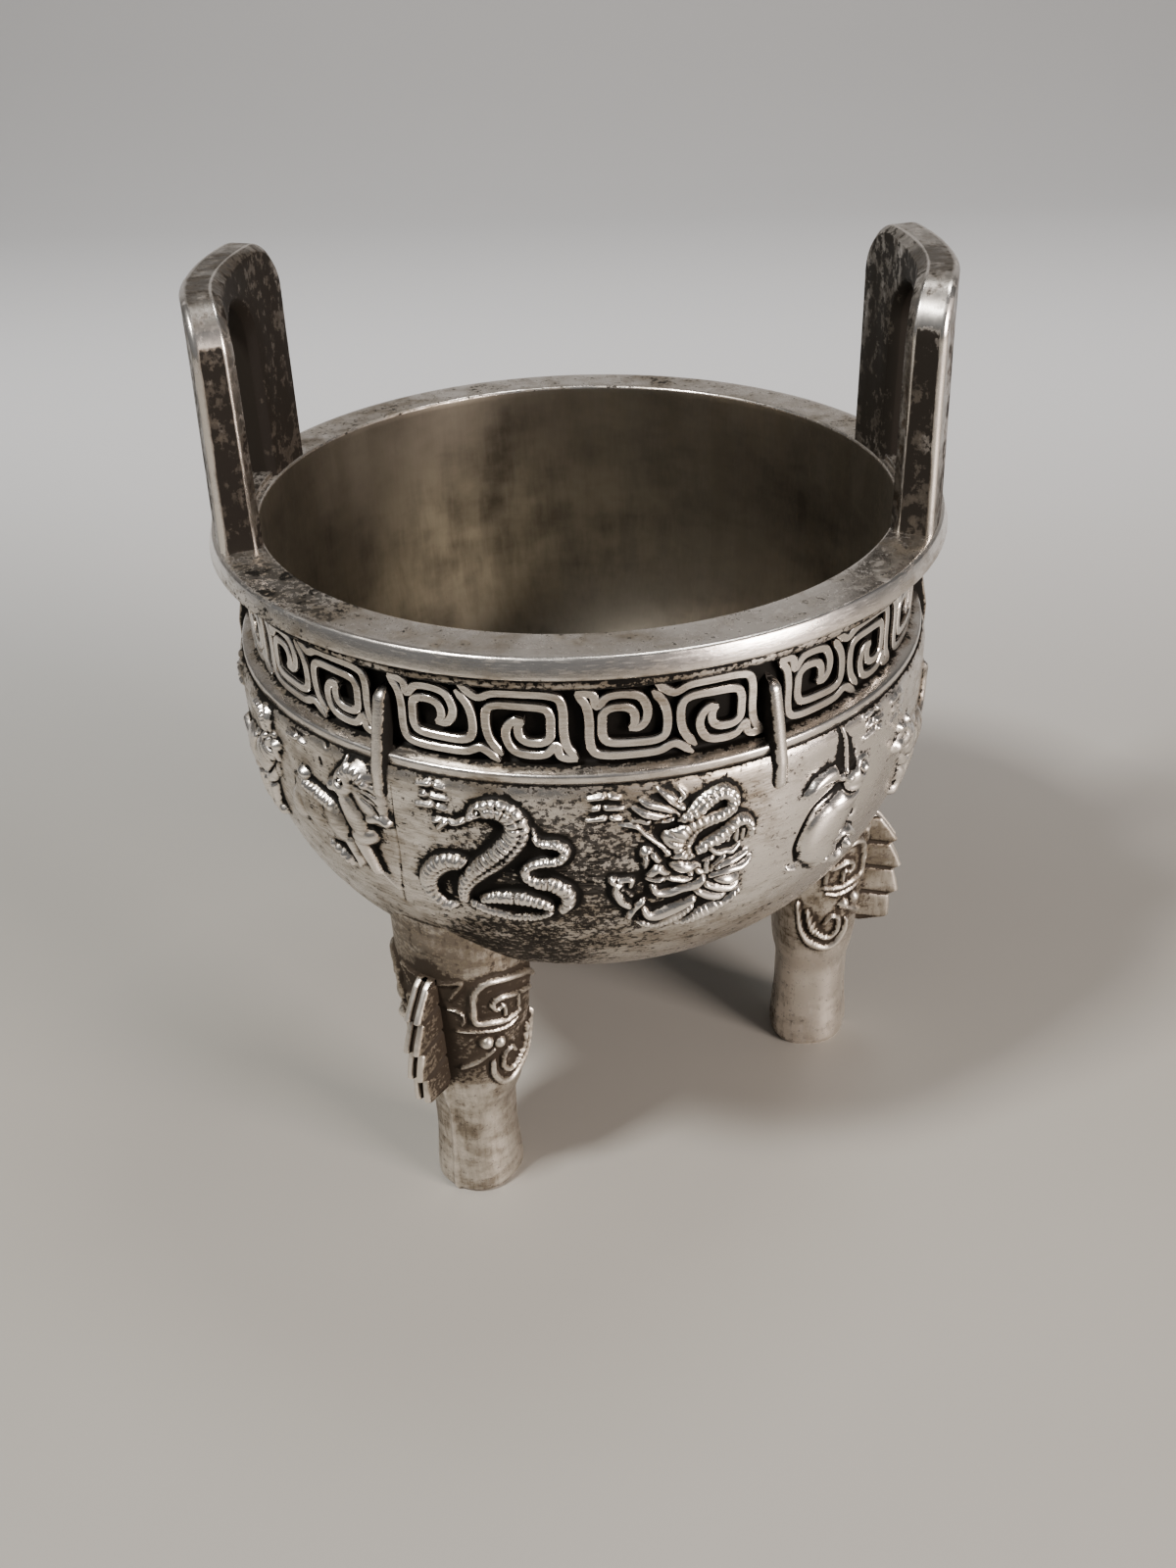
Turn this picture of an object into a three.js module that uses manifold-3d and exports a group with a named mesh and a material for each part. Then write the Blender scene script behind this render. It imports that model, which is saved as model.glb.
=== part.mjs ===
// A small three-legged vessel with two upright ears, cast in one piece and silvered.
// Millimetres, +Z up. The origin is on the floor, on the vessel's own axis.
// Angles turn about that axis from +X, anticlockwise seen from above.

import * as THREE from 'three';
import { mergeVertices } from 'three/addons/utils/BufferGeometryUtils.js';
import Module from 'manifold-3d';

// Rim and neck
const rimHeight = 69; // floor to the flat top of the rim
const mouthRadius = 30.6;
const rimWidth = 4.4;
const rimFlare = 0.5; // the rim's outer face leans out by this
const rimDepth = 1.8;
const rimUndercut = 0.6; // height of the slope under the rim
const neckWall = 1.4;
const lipProud = 2.1; // thin second lip under the rim, beyond the neck
const lipDepth = 0.5;

// Band and bead
const bandDrop = 3.6; // top of the rim to the top of the sunk band
const bandHeight = 7.9;
const beadHeight = 1;
const beadProud = 1.9;
const beadEase = 0.2; // height of the bead's eased upper edge

// Belly
const bellySwell = 2.4; // widest place beyond the neck
const shoulderHeight = 3.5; // bead to the widest place
const bellyDepth = 29.8; // widest place to the underside
const bellySquareness = 2.4; // 2 is an ellipse, more is fuller
const floorWall = 2.6; // thickness at the underside
const bellyRows = 6;
const turnSteps = 32;

// Key fret on the band: pairs of hooked keys, the second turned half round
const panelCount = 6;
const pairsInPanel = 2;
const fretHeight = 6.4;
const fretRise = 0.85;
const fretWidth = 1.2; // a key's ribbon
const fretMargin = 0.25; // clear of each rib

// Ribs that part the panels
const ribTopDrop = 5.7; // below the top of the rim
const ribLength = 10.4;
const ribWidth = 1.1;
const ribProud = 0.7; // ridge beyond what it lies on
const ribSeat = 0.6; // its seat beyond the neck, between the keys
const ribSlope = 0.25; // its sides lean in by this

// Ears
const earHeight = 21.9;
const earWidth = 26.6; // measured round the ear
const earCorner = 4.6;
const earThickness = 4;
const earTaper = 0.5; // thinner by this at the top
const earBevel = 0.6;
const earSetback = 0.15; // from the mouth to the inner face
const earRootShare = 0.7; // of the rim's depth, how far the ears run down into it
const slotWidth = 10.6;
const slotTop = 18.2; // above the rim
const slotArch = 4.6;
const slotSill = 0.6; // slot's floor above the rim
const sillOverlap = 1.2; // the sill runs into both uprights by this

// Legs
const legCount = 3;
const legCircle = 25; // radius of the circle that the legs stand on
const footWidth = 8.8;
const footDepth = 4.7; // outwards from the leg's own axis
const shinWidth = 8.1;
const shinDepth = 4.3;
const calfWidth = 9.8;
const calfDepth = 4.9;
const maskWidth = 13.4;
const maskDepth = 5.7;
const rootDepth = 6.2;
const innerShare = 0.84; // the side that faces the axis is flatter

// Scalloped flange down the front of each leg
const scallopCount = 4;
const scallopPitch = 3.5;
const flangeBottom = 16;
const flangeThickness = 1.9;
const flangeReach = 35; // radius of the outermost scallop
const scallopDepth = 0.8;
const flangeBow = 0.4; // the top and bottom scallops stand back by about this

// Animal reliefs
const figureSpan = 14;
const figureRise = 1;
const figureDrop = 8.5; // bead to the middle of each animal
const sink = 0.6; // how deep carving is rooted in the wall

const neckRadius = mouthRadius + neckWall;
const rimRadius = mouthRadius + rimWidth;
const bellyRadius = neckRadius + bellySwell;
const bandTop = rimHeight - bandDrop;
const bandBottom = bandTop - bandHeight;
const beadBottom = bandBottom - beadHeight;
const shoulderTop = beadBottom - beadHeight;
const widestHeight = beadBottom - shoulderHeight;
const legHeight = widestHeight - bellyDepth;
const figureHeight = beadBottom - figureDrop;
const earRoot = rimDepth * earRootShare;
const radians = THREE.MathUtils.degToRad;

const wasm = await Module();
wasm.setup();

// A solid from a closed three.js geometry, with its faces turned outwards.
function solidFrom(geometry) {
  geometry.deleteAttribute('normal');
  geometry.deleteAttribute('uv');
  const merged = mergeVertices(geometry, 1e-4);
  const place = merged.attributes.position;
  const corners = merged.index.array;
  const faces = [];
  let volume = 0;
  for (let i = 0; i < corners.length; i += 3) {
    const [a, b, c] = corners.slice(i, i + 3);
    if (a === b || b === c || c === a) continue;
    faces.push([a, b, c]);
    const [p, q, r] = [a, b, c].map((k) => new THREE.Vector3().fromBufferAttribute(place, k));
    volume += p.dot(q.cross(r));
  }
  const outward = volume > 0 ? faces : faces.map(([a, b, c]) => [a, c, b]);
  const mesh = new wasm.Mesh({
    numProp: 3,
    vertProperties: new Float32Array(place.array),
    triVerts: new Uint32Array(outward.flat()),
  });
  return new wasm.Manifold(mesh);
}

// A closed solid through rings of points. The last ring may be a single point.
function loft(rings) {
  const points = rings.flat();
  const faces = [];
  let start = 0;
  for (let i = 0; i + 1 < rings.length; i++) {
    const count = rings[i].length;
    const next = start + count;
    for (let k = 0; k < count; k++) {
      const m = (k + 1) % count;
      if (rings[i + 1].length === 1) {
        faces.push(start + k, start + m, next);
      } else {
        faces.push(start + k, start + m, next + m, start + k, next + m, next + k);
      }
    }
    start = next;
  }
  const firstCount = rings[0].length;
  const lastCount = rings.at(-1).length;
  for (let k = 1; k + 1 < firstCount; k++) faces.push(0, k + 1, k);
  for (let k = 1; k + 1 < lastCount; k++) faces.push(start, start + k, start + k + 1);
  const geometry = new THREE.BufferGeometry().setFromPoints(points);
  geometry.setIndex(faces);
  return solidFrom(geometry);
}

function revolve(profile) {
  const outline = profile.map(([radius, height]) => new THREE.Vector2(radius, height));
  const lathe = new THREE.LatheGeometry(outline, turnSteps, Math.PI / 2);
  lathe.rotateX(Math.PI / 2);
  return solidFrom(lathe);
}

function aboutAxis(angle, radius, height) {
  return new THREE.Vector3(radius * Math.cos(angle), radius * Math.sin(angle), height);
}

// Points of a rounded quarter from its widest place down to its pole.
function bellyQuarter(radius, depth, rows) {
  const points = [];
  for (let i = 0; i <= rows; i++) {
    const turn = (i / rows) * (Math.PI / 2);
    const across = i === rows ? 0 : radius * Math.cos(turn) ** (2 / bellySquareness);
    points.push([across, widestHeight - depth * Math.sin(turn) ** (2 / bellySquareness)]);
  }
  return points;
}

// A point on the belly's outside, raised square to it. Above the shoulder it draws in to the neck.
function onBelly(angle, height, raise) {
  const below = Math.max(widestHeight - height, 0) / bellyDepth;
  const share = (1 - below ** bellySquareness) ** (1 / bellySquareness);
  const power = bellySquareness - 1;
  const square = new THREE.Vector2(share ** power / bellyRadius, -(below ** power) / bellyDepth);
  square.normalize().multiplyScalar(raise);
  const radius = THREE.MathUtils.mapLinear(height, shoulderTop, bandBottom, bellyRadius, neckRadius);
  const girth = THREE.MathUtils.clamp(radius, neckRadius, bellyRadius);
  return aboutAxis(angle, girth * share + square.x, height + square.y);
}

function onBand(angle, height, raise) {
  return aboutAxis(angle, neckRadius + raise, height);
}

// A raised ribbon along a flat path of [across, up, width], laid on a surface by place.
function ribbon(path, rise, topShare, place) {
  const points = path.map(([x, y]) => new THREE.Vector2(x, y));
  const rings = path.map(([x, y, width], i) => {
    const before = points[Math.max(i - 1, 0)];
    const after = points[Math.min(i + 1, path.length - 1)];
    const arriving = points[i].clone().sub(before).normalize();
    const leaving = after.clone().sub(points[i]).normalize();
    const along = arriving.add(leaving).normalize();
    const half = width / 2;
    const edge = (side, share, raise) => place(x - along.y * half * side * share,
      y + along.x * half * side * share, raise);
    return [edge(1, 1, -sink), edge(-1, 1, -sink), edge(-1, topShare, rise), edge(1, topShare, rise)];
  });
  return loft(rings);
}

// A low dome on a surface, its outline an ellipse turned by tilt degrees.
function dome(x, y, halfLength, halfWidth, tilt, rise, place) {
  const sides = 6;
  const turn = radians(tilt);
  const ring = (share, raise) => Array.from({ length: sides }, (_, k) => {
    const angle = (k / sides) * 2 * Math.PI;
    const along = halfLength * share * Math.cos(angle);
    const across = halfWidth * share * Math.sin(angle);
    return place(x + along * Math.cos(turn) - across * Math.sin(turn),
      y + along * Math.sin(turn) + across * Math.cos(turn), raise);
  });
  return loft([ring(1, -sink), ring(0.82, rise * 0.62), [place(x, y, rise)]]);
}

function bowlOutside() {
  const quarter = bellyQuarter(bellyRadius, bellyDepth, bellyRows);
  return revolve([
    [0, rimHeight],
    [rimRadius, rimHeight],
    [rimRadius + rimFlare, rimHeight - rimDepth],
    [neckRadius + lipProud, rimHeight - rimDepth - rimUndercut],
    [neckRadius + lipProud, bandTop + lipDepth],
    [neckRadius, bandTop],
    [neckRadius, bandBottom],
    [neckRadius + beadProud, bandBottom - beadEase],
    [neckRadius + beadProud, beadBottom],
    [bellyRadius, shoulderTop],
    ...quarter,
  ]);
}

// The hollow, which runs on above the mouth so that it opens it cleanly.
function bowlInside() {
  const overshoot = 0.1;
  return revolve([
    [0, rimHeight + overshoot],
    [mouthRadius, rimHeight + overshoot],
    ...bellyQuarter(mouthRadius, bellyDepth - floorWall, bellyRows),
  ]);
}

// One key of the fret, as shares of its width and height: from the hook in its middle, round
// below and over the top, and down to the flare that meets its turned neighbour.
const keyPath = [[0.5, 0.6], [0.34, 0.4], [0.42, 0.14], [0.8, 0.17], [0.8, 0.86], [0.09, 0.86], [0.16, 0.04]];

function keyFret() {
  const panel = (2 * Math.PI) / panelCount;
  const room = panel * neckRadius - ribWidth - 2 * fretMargin;
  const keyWidth = room / (2 * pairsInPanel);
  const middle = (bandTop + bandBottom) / 2;
  const parts = [];
  for (let pair = 0; pair < panelCount * pairsInPanel; pair++) {
    const panelStart = Math.floor(pair / pairsInPanel) * panel;
    const pairMiddle = panelStart + panel / 2
      + (((pair % pairsInPanel) - (pairsInPanel - 1) / 2) * 2 * keyWidth) / neckRadius;
    for (const turned of [1, -1]) {
      const place = (x, y, raise) => onBand(pairMiddle + x / neckRadius, middle + y, raise);
      const path = keyPath.map(([x, y], i) => {
        const tip = i === 0 || i === keyPath.length - 1;
        return [turned * x * keyWidth, turned * (y - 0.5) * fretHeight, tip ? fretWidth * 0.3 : fretWidth];
      });
      parts.push(ribbon(path, fretRise, 0.8, place));
    }
  }
  return parts;
}

// Upright bars between the panels, from the band down over the bead to the belly.
function ribs() {
  const parts = [];
  for (let i = 0; i < panelCount; i++) {
    const angle = (i / panelCount) * 2 * Math.PI;
    const top = rimHeight - ribTopDrop;
    const rows = [[0, 0.4, 0.5], [0.12, 1, 1], [0.9, 1, 1], [1, 0.4, 0.5]];
    const rings = rows.map(([down, widthShare, proudShare]) => {
      const height = top - down * ribLength;
      const base = height > bandBottom ? neckRadius + ribSeat : bellyRadius;
      const crest = base + ribProud * proudShare;
      const half = (ribWidth / 2) * widthShare;
      const narrow = half - ribSlope * widthShare;
      const corner = (radius, across) => aboutAxis(angle + across / radius, radius, height);
      return [corner(neckRadius - sink, -half), corner(crest, -narrow), corner(crest, narrow),
        corner(neckRadius - sink, half)];
    });
    parts.push(loft(rings));
  }
  return parts;
}

// An arched plate that follows the mouth's curve, with a slot through it and bevelled edges.
function ear(angle) {
  const halfEar = earWidth / 2;
  const halfSlot = slotWidth / 2;
  const innerRadius = mouthRadius + earSetback;
  const middleRadius = innerRadius + earThickness / 2;
  const slotSpring = slotTop - slotArch;
  const cornerShare = 0.6; // share of the arch's steps that go round the corner
  const archSteps = 6;
  const stations = [[-earRoot, -1], [slotSpring / 2, -1]];
  for (let i = 0; i <= archSteps; i++) stations.push([slotSpring, i / archSteps]);
  const section = (slotX, slotY, outX, outY) => {
    const length = Math.hypot(outX - slotX, outY - slotY);
    return [[0, earBevel], [earBevel, 0], [length - earBevel, 0], [length, earBevel],
      [length, -earBevel], [length - earBevel, 0], [earBevel, 0], [0, -earBevel]].map(([along, deep], k) => {
      const x = slotX + ((outX - slotX) * along) / length;
      const y = slotY + ((outY - slotY) * along) / length;
      const thick = earThickness - (earTaper * Math.max(y, 0)) / earHeight;
      const radius = innerRadius + (k < 4 ? deep : thick + deep);
      return [x, y, radius];
    });
  };
  const half = stations.map(([height, share]) => {
    if (share < 0) return section(halfSlot, height, halfEar, height);
    const turn = share * (Math.PI / 2);
    const corner = Math.min(share / cornerShare, 1) * (Math.PI / 2);
    const flat = Math.max(share - cornerShare, 0) / (1 - cornerShare);
    return section(halfSlot * Math.cos(turn), slotSpring + slotArch * Math.sin(turn),
      (halfEar - earCorner) * (1 - flat) + earCorner * Math.cos(corner),
      earHeight - earCorner + earCorner * Math.sin(corner));
  });
  const mirrored = half.slice(0, -1).reverse().map((ring) => ring.map(([x, y, radius]) => [-x, y, radius]));
  const rings = [...half, ...mirrored].map((ring) => ring.map(([x, y, radius]) => (
    aboutAxis(angle + x / middleRadius, radius, rimHeight + y))));
  return loft(rings);
}

// The sill under an ear's slot, which joins its two uprights a little above the rim.
function earSill(angle) {
  const innerRadius = mouthRadius + earSetback;
  const outerRadius = innerRadius + earThickness;
  const steps = 4;
  const rings = [];
  for (let i = 0; i <= steps; i++) {
    const x = (slotWidth + 2 * sillOverlap) * (i / steps - 0.5);
    const turn = angle + x / (innerRadius + earThickness / 2);
    const low = rimHeight - earRoot;
    const high = rimHeight + slotSill;
    rings.push([aboutAxis(turn, innerRadius + earBevel / 2, low), aboutAxis(turn, outerRadius - earBevel / 2, low),
      aboutAxis(turn, outerRadius - earBevel, high), aboutAxis(turn, innerRadius + earBevel, high)]);
  }
  return loft(rings);
}

// Leg outlines from the foot up: share of the leg's height, width, and depth outwards.
const legStations = [
  [0, footWidth, footDepth],
  [0.08, footWidth, footDepth],
  [0.28, shinWidth, shinDepth],
  [0.5, shinWidth * 1.02, shinDepth],
  [0.57, calfWidth, calfDepth],
  [0.78, (calfWidth + maskWidth) / 2, (calfDepth + maskDepth) / 2],
  [1.15, maskWidth, maskDepth],
  [1.62, maskWidth, rootDepth],
];

function legSize(height) {
  const share = height / legHeight;
  const above = legStations.findIndex(([at]) => at > share);
  const [low, lowWidth, lowDepth] = legStations[above - 1];
  const [high, highWidth, highDepth] = legStations[above];
  const between = (share - low) / (high - low);
  return [THREE.MathUtils.lerp(lowWidth, highWidth, between),
    THREE.MathUtils.lerp(lowDepth, highDepth, between)];
}

// A point of a leg's side. Turn 0 faces straight out from the vessel's axis.
function legPoint(legAngle, width, depth, turn, height, raise) {
  const inward = Math.cos(turn) < 0;
  const reach = (inward ? depth * innerShare : depth) * Math.sign(Math.cos(turn))
    * Math.abs(Math.cos(turn)) ** (inward ? 0.7 : 0.9);
  const across = (width / 2) * Math.sign(Math.sin(turn)) * Math.abs(Math.sin(turn)) ** 0.9;
  const out = legCircle + reach + raise * Math.cos(turn);
  const side = across + raise * Math.sin(turn);
  return new THREE.Vector3(out * Math.cos(legAngle) - side * Math.sin(legAngle),
    out * Math.sin(legAngle) + side * Math.cos(legAngle), height);
}

function legBody(angle) {
  const sides = 10;
  return loft(legStations.map(([share, width, depth]) => Array.from({ length: sides }, (_, k) => (
    legPoint(angle, width, depth, (k / sides) * 2 * Math.PI, share * legHeight, 0)))));
}

// One scallop of the flange: shares of its depth in from the tip, and of its pitch down.
const scallopPath = [[1, 0], [0.25, 0.35], [0, 0.85], [1, 0.95]];

// A plate down the front of the leg, its edge cut into hooked scallops.
function legFlange(angle) {
  const top = flangeBottom + scallopCount * scallopPitch;
  const outline = [[legCircle, top]];
  for (let i = 0; i < scallopCount; i++) {
    const fromMiddle = (2 * i + 1) / scallopCount - 1;
    const reach = flangeReach - flangeBow * fromMiddle ** 2;
    for (const [inward, down] of scallopPath) {
      outline.push([reach - scallopDepth * inward, top - (i + down) * scallopPitch]);
    }
  }
  outline.push([legCircle, flangeBottom]);
  const shape = new THREE.Shape(outline.map(([x, y]) => new THREE.Vector2(x, y)));
  const plate = new THREE.ExtrudeGeometry(shape, { depth: flangeThickness, bevelEnabled: false });
  plate.translate(0, 0, -flangeThickness / 2);
  plate.rotateX(Math.PI / 2);
  plate.rotateZ(angle);
  return solidFrom(plate);
}

// The mask on each side of the flange: a squared horn, an eye, and the curl of the mouth.
// Each place is a turn round the leg in degrees and a share of the leg's height.
const maskHorn = [[100, 1.21], [48, 1.3], [38, 1.09], [84, 1.05]];
const maskMouth = [[110, 0.95], [102, 0.77], [80, 0.68], [56, 0.8]];
const maskEye = [54, 0.96];
const maskRise = 0.7;
const maskStroke = 1;

function legMask(angle) {
  const parts = [];
  for (const side of [1, -1]) {
    const place = (turn, height, raise) => {
      const [width, depth] = legSize(height);
      return legPoint(angle, width, depth, side * turn, height, raise);
    };
    for (const outline of [maskHorn, maskMouth]) {
      const girth = maskWidth / 2;
      const path = outline.map(([turn, share]) => [radians(turn) * girth, share * legHeight, maskStroke]);
      parts.push(ribbon(path, maskRise, 0.6, (x, y, raise) => place(x / girth, y, raise)));
    }
    const [turn, share] = maskEye;
    const girth = maskWidth / 2;
    parts.push(dome(radians(turn) * girth, share * legHeight, maskStroke * 1.1, maskStroke * 0.9, 0,
      maskRise * 1.5, (x, y, raise) => place(x / girth, y, raise)));
  }
  return parts;
}

// Animals, facing left, in hundredths of the figure's span from its middle.
// A lobe is [across, up, half length, half width, tilt, rise]; a limb is its path, first and last width.
const fourLegs = (front, back, foot) => [
  [[[front, -10], [front - 6, foot]], 10, 5],
  [[[front + 8, -12], [front + 13, foot + 3]], 10, 5],
  [[[back, -8], [back - 2, foot]], 11, 5],
  [[[back + 7, -8], [back + 15, foot + 2]], 11, 5],
];

const animals = {
  goat: {
    angle: -149,
    lobes: [[6, -2, 24, 14, -8, 1], [-22, 24, 12, 8, 40, 1]],
    limbs: [[[[-6, 2], [-19, 20]], 17, 11], [[[-18, 30], [-12, 44], [2, 36]], 8, 4], ...fourLegs(-10, 20, -42)],
  },
  horse: {
    angle: -126,
    lobes: [[-10, 8, 17, 12, 60, 1.2], [14, -12, 18, 13, -40, 1.1], [-18, 33, 11, 7, 20, 1.1]],
    limbs: [[[[0, 40], [12, 26], [8, 8]], 9, 6], [[[-14, 0], [-32, 4], [-32, -8]], 9, 5],
      [[[8, -20], [-8, -46]], 12, 5], [[[22, -20], [26, -46]], 12, 5], [[[28, -14], [44, -38]], 8, 3]],
  },
  snake: {
    angle: -102.5,
    lobes: [[-11, 37, 14, 8, 20, 1.2]],
    limbs: [[[[-34, 26], [-12, 34]], 3, 4],
      [[[-6, 41], [8, 46], [20, 32], [-2, 0], [-18, -20], [-8, -40], [26, -38], [36, -24], [-6, -22]], 17, 11],
      [[[-18, 2], [-38, -4], [-45, -20], [-40, -38]], 13, 10],
      [[[24, 29], [43, 18], [40, 6], [21, -1], [23, -10], [42, -14], [46, -28], [38, -34]], 7, 13]],
  },
  dragon: {
    angle: -73.8,
    lobes: [[-12, -14, 22, 10, -8, 1.3], [-20, -42, 20, 10, -12, 1]],
    limbs: [[[[-30, 22], [-10, 22], [14, 38], [30, 32], [-4, 8], [-8, -6]], 9, 15],
      [[[6, 2], [40, 20], [50, 8]], 14, 6], [[[-52, 32], [-28, 27]], 6, 8],
      [[[6, -20], [46, -6]], 12, 5], [[[6, -28], [50, -18]], 12, 5], [[[0, -46], [44, -34]], 12, 6],
      [[[-58, -22], [-66, -34], [-54, -46]], 8, 5]],
  },
  rabbit: {
    angle: -50.5,
    lobes: [[2, -8, 22, 19, -28, 1.3], [8, 12, 13, 10, 20, 1.3]],
    limbs: [[[[6, 20], [7, 50]], 9, 3], [[[15, 18], [18, 46]], 9, 3], [[[-10, 2], [-30, -4]], 9, 5],
      [[[-8, -24], [24, -30]], 11, 8], [[[20, -4], [26, -16]], 9, 5]],
  },
  tiger: {
    angle: -22.5,
    lobes: [[6, -4, 25, 13, -10, 1.1], [-24, 16, 13, 11, 0, 1.2]],
    limbs: [[[[-8, 2], [-20, 14]], 18, 15], [[[28, -6], [42, 10], [36, 34]], 8, 5], ...fourLegs(-14, 20, -38)],
  },
  ox: {
    angle: 8,
    lobes: [[6, -2, 27, 16, -4, 1.1], [-26, 10, 14, 9, 35, 1.2]],
    limbs: [[[[-26, 20], [-38, 32], [-28, 44]], 7, 4], [[[-18, 20], [-6, 30], [-12, 44]], 7, 4],
      ...fourLegs(-12, 20, -38)],
  },
  rat: {
    angle: 37,
    lobes: [[4, -12, 23, 16, -14, 1.2], [-22, 0, 14, 9, 25, 1.1], [-14, 12, 6, 6, 0, 1]],
    limbs: [[[[24, -18], [44, -6], [38, 24]], 7, 3], [[[-12, -18], [-20, -32]], 8, 5],
      [[[14, -22], [8, -36]], 10, 6]],
  },
  pig: {
    angle: 67,
    lobes: [[6, -6, 28, 19, -4, 1.2], [-24, 2, 14, 13, 0, 1.2], [-39, -4, 6, 6, 0, 0.9]],
    limbs: [[[[-18, 12], [-22, 26]], 9, 4], ...fourLegs(-10, 18, -36)],
  },
  dog: {
    angle: 97,
    lobes: [[6, -6, 22, 12, -14, 1.1], [-20, 18, 14, 10, 15, 1.2]],
    limbs: [[[[-6, 0], [-16, 14]], 16, 14], [[[24, -8], [40, 6], [30, 22]], 8, 5], ...fourLegs(-10, 18, -42)],
  },
  rooster: {
    angle: 127,
    lobes: [[-2, -4, 18, 15, 20, 1.2], [-20, 26, 9, 8, 0, 1.1]],
    limbs: [[[[-8, 4], [-19, 24]], 18, 12], [[[10, 4], [34, 26], [46, 10]], 12, 5],
      [[[12, -2], [42, -8]], 12, 5], [[[-4, -16], [-10, -44]], 6, 4], [[[6, -16], [6, -44]], 6, 4]],
  },
  monkey: {
    angle: 157,
    lobes: [[2, -6, 15, 18, 0, 1.2], [-4, 24, 13, 12, 0, 1.2]],
    limbs: [[[[-8, 4], [-28, 2], [-22, 18]], 9, 6], [[[-6, -18], [-26, -20], [-24, -40]], 12, 6],
      [[[8, -20], [18, -40]], 12, 7], [[[16, -10], [40, -10], [36, 18]], 7, 4]],
  },
};

function animalRelief({ angle, lobes, limbs }) {
  const unit = figureSpan / 100;
  const middle = radians(angle);
  const place = (x, y, raise) => onBelly(middle + x / bellyRadius, figureHeight + y, raise);
  const parts = lobes.map(([x, y, length, width, tilt, rise]) => (
    dome(x * unit, y * unit, length * unit, width * unit, tilt, figureRise * rise, place)));
  for (const [path, firstWidth, lastWidth] of limbs) {
    const placed = path.map(([x, y], i) => [x * unit, y * unit,
      THREE.MathUtils.lerp(firstWidth, lastWidth, i / (path.length - 1)) * unit]);
    parts.push(ribbon(placed, figureRise * 0.75, 0.5, place));
  }
  return parts;
}

function vesselSolid() {
  const parts = [bowlOutside(), ...keyFret(), ...ribs()];
  for (const angle of [0, Math.PI]) parts.push(ear(angle), earSill(angle));
  for (let i = 0; i < legCount; i++) {
    const angle = ((i - 1) / legCount) * 2 * Math.PI;
    parts.push(legBody(angle), legFlange(angle), ...legMask(angle));
  }
  for (const animal of Object.values(animals)) parts.push(...animalRelief(animal));
  return wasm.Manifold.union(parts).subtract(bowlInside());
}

function meshFrom(solid, material, name) {
  const { vertProperties, triVerts } = solid.getMesh();
  const geometry = new THREE.BufferGeometry();
  geometry.setAttribute('position', new THREE.BufferAttribute(vertProperties, 3));
  geometry.setIndex(new THREE.BufferAttribute(triVerts, 1));
  geometry.computeVertexNormals();
  const mesh = new THREE.Mesh(geometry, material);
  mesh.name = name;
  return mesh;
}

const wornSilver = new THREE.MeshStandardMaterial({ color: 0xb9b2a9, roughness: 0.35, metalness: 1 });

const vessel = new THREE.Group();
vessel.add(meshFrom(vesselSolid(), wornSilver, 'ding_vessel'));
export default vessel;
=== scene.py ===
# A small cast ding: a silvered bowl on three legs, with two ears, a key fret and twelve animals.
# Lengths are millimetres until a mesh is made. Angles turn from +X, anticlockwise from above.
import math

import bpy
import numpy as np
from mathutils import Matrix, Vector


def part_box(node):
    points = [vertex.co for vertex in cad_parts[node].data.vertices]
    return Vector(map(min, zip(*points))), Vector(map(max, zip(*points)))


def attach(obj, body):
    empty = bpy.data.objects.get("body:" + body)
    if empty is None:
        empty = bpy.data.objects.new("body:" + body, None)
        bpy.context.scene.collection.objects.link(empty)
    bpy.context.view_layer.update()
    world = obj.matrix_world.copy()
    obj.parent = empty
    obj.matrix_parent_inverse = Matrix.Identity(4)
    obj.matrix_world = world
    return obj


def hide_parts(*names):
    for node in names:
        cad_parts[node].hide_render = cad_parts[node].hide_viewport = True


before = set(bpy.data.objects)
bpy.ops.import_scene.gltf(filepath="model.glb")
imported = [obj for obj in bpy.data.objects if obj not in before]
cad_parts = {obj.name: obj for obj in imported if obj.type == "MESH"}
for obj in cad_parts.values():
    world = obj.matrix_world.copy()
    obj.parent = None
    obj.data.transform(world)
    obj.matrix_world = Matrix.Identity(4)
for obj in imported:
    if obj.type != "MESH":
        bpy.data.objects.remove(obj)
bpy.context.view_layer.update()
castNode = "ding_vessel"
castBody = "root"
millimetre = 0.001
castLow, castHigh = (np.array(corner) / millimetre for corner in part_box(castNode))
print("frame loaded, cast box in mm:", castLow.round(1), castHigh.round(1))

vessel = {
    "rimFlareRadius": castHigh[0],  # outermost place of the rim
    "rimFlare": 0.5,
    "earHeight": 21.9,
    "rimDepth": 1.8,
    "rimUndercut": 0.6,
    "rimWidth": 4.4,
    "neckWall": 1.4,
    "lipProud": 2.1,
    "lipDepth": 0.5,
    "bandDrop": 3.6,
    "bandHeight": 7.9,
    "beadHeight": 1.0,
    "beadProud": 1.9,
    "bellySwell": 2.4,
    "shoulderHeight": 3.5,
    "bellyDepth": 29.8,
    "bellySquareness": 2.4,
    "floorWall": 2.6,
}
rimHeight = castHigh[2] - vessel["earHeight"]
rimRadius = vessel["rimFlareRadius"] - vessel["rimFlare"]
mouthRadius = rimRadius - vessel["rimWidth"]
neckRadius = mouthRadius + vessel["neckWall"]
bellyRadius = neckRadius + vessel["bellySwell"]
bandTop = rimHeight - vessel["bandDrop"]
bandBottom = bandTop - vessel["bandHeight"]
beadBottom = bandBottom - vessel["beadHeight"]
widestHeight = beadBottom - vessel["shoulderHeight"]
legHeight = widestHeight - vessel["bellyDepth"]


# Placing

def radialPoint(angle, radius, height):
    return np.stack([radius * np.cos(angle), radius * np.sin(angle), height + 0 * radius * angle], -1)


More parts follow.
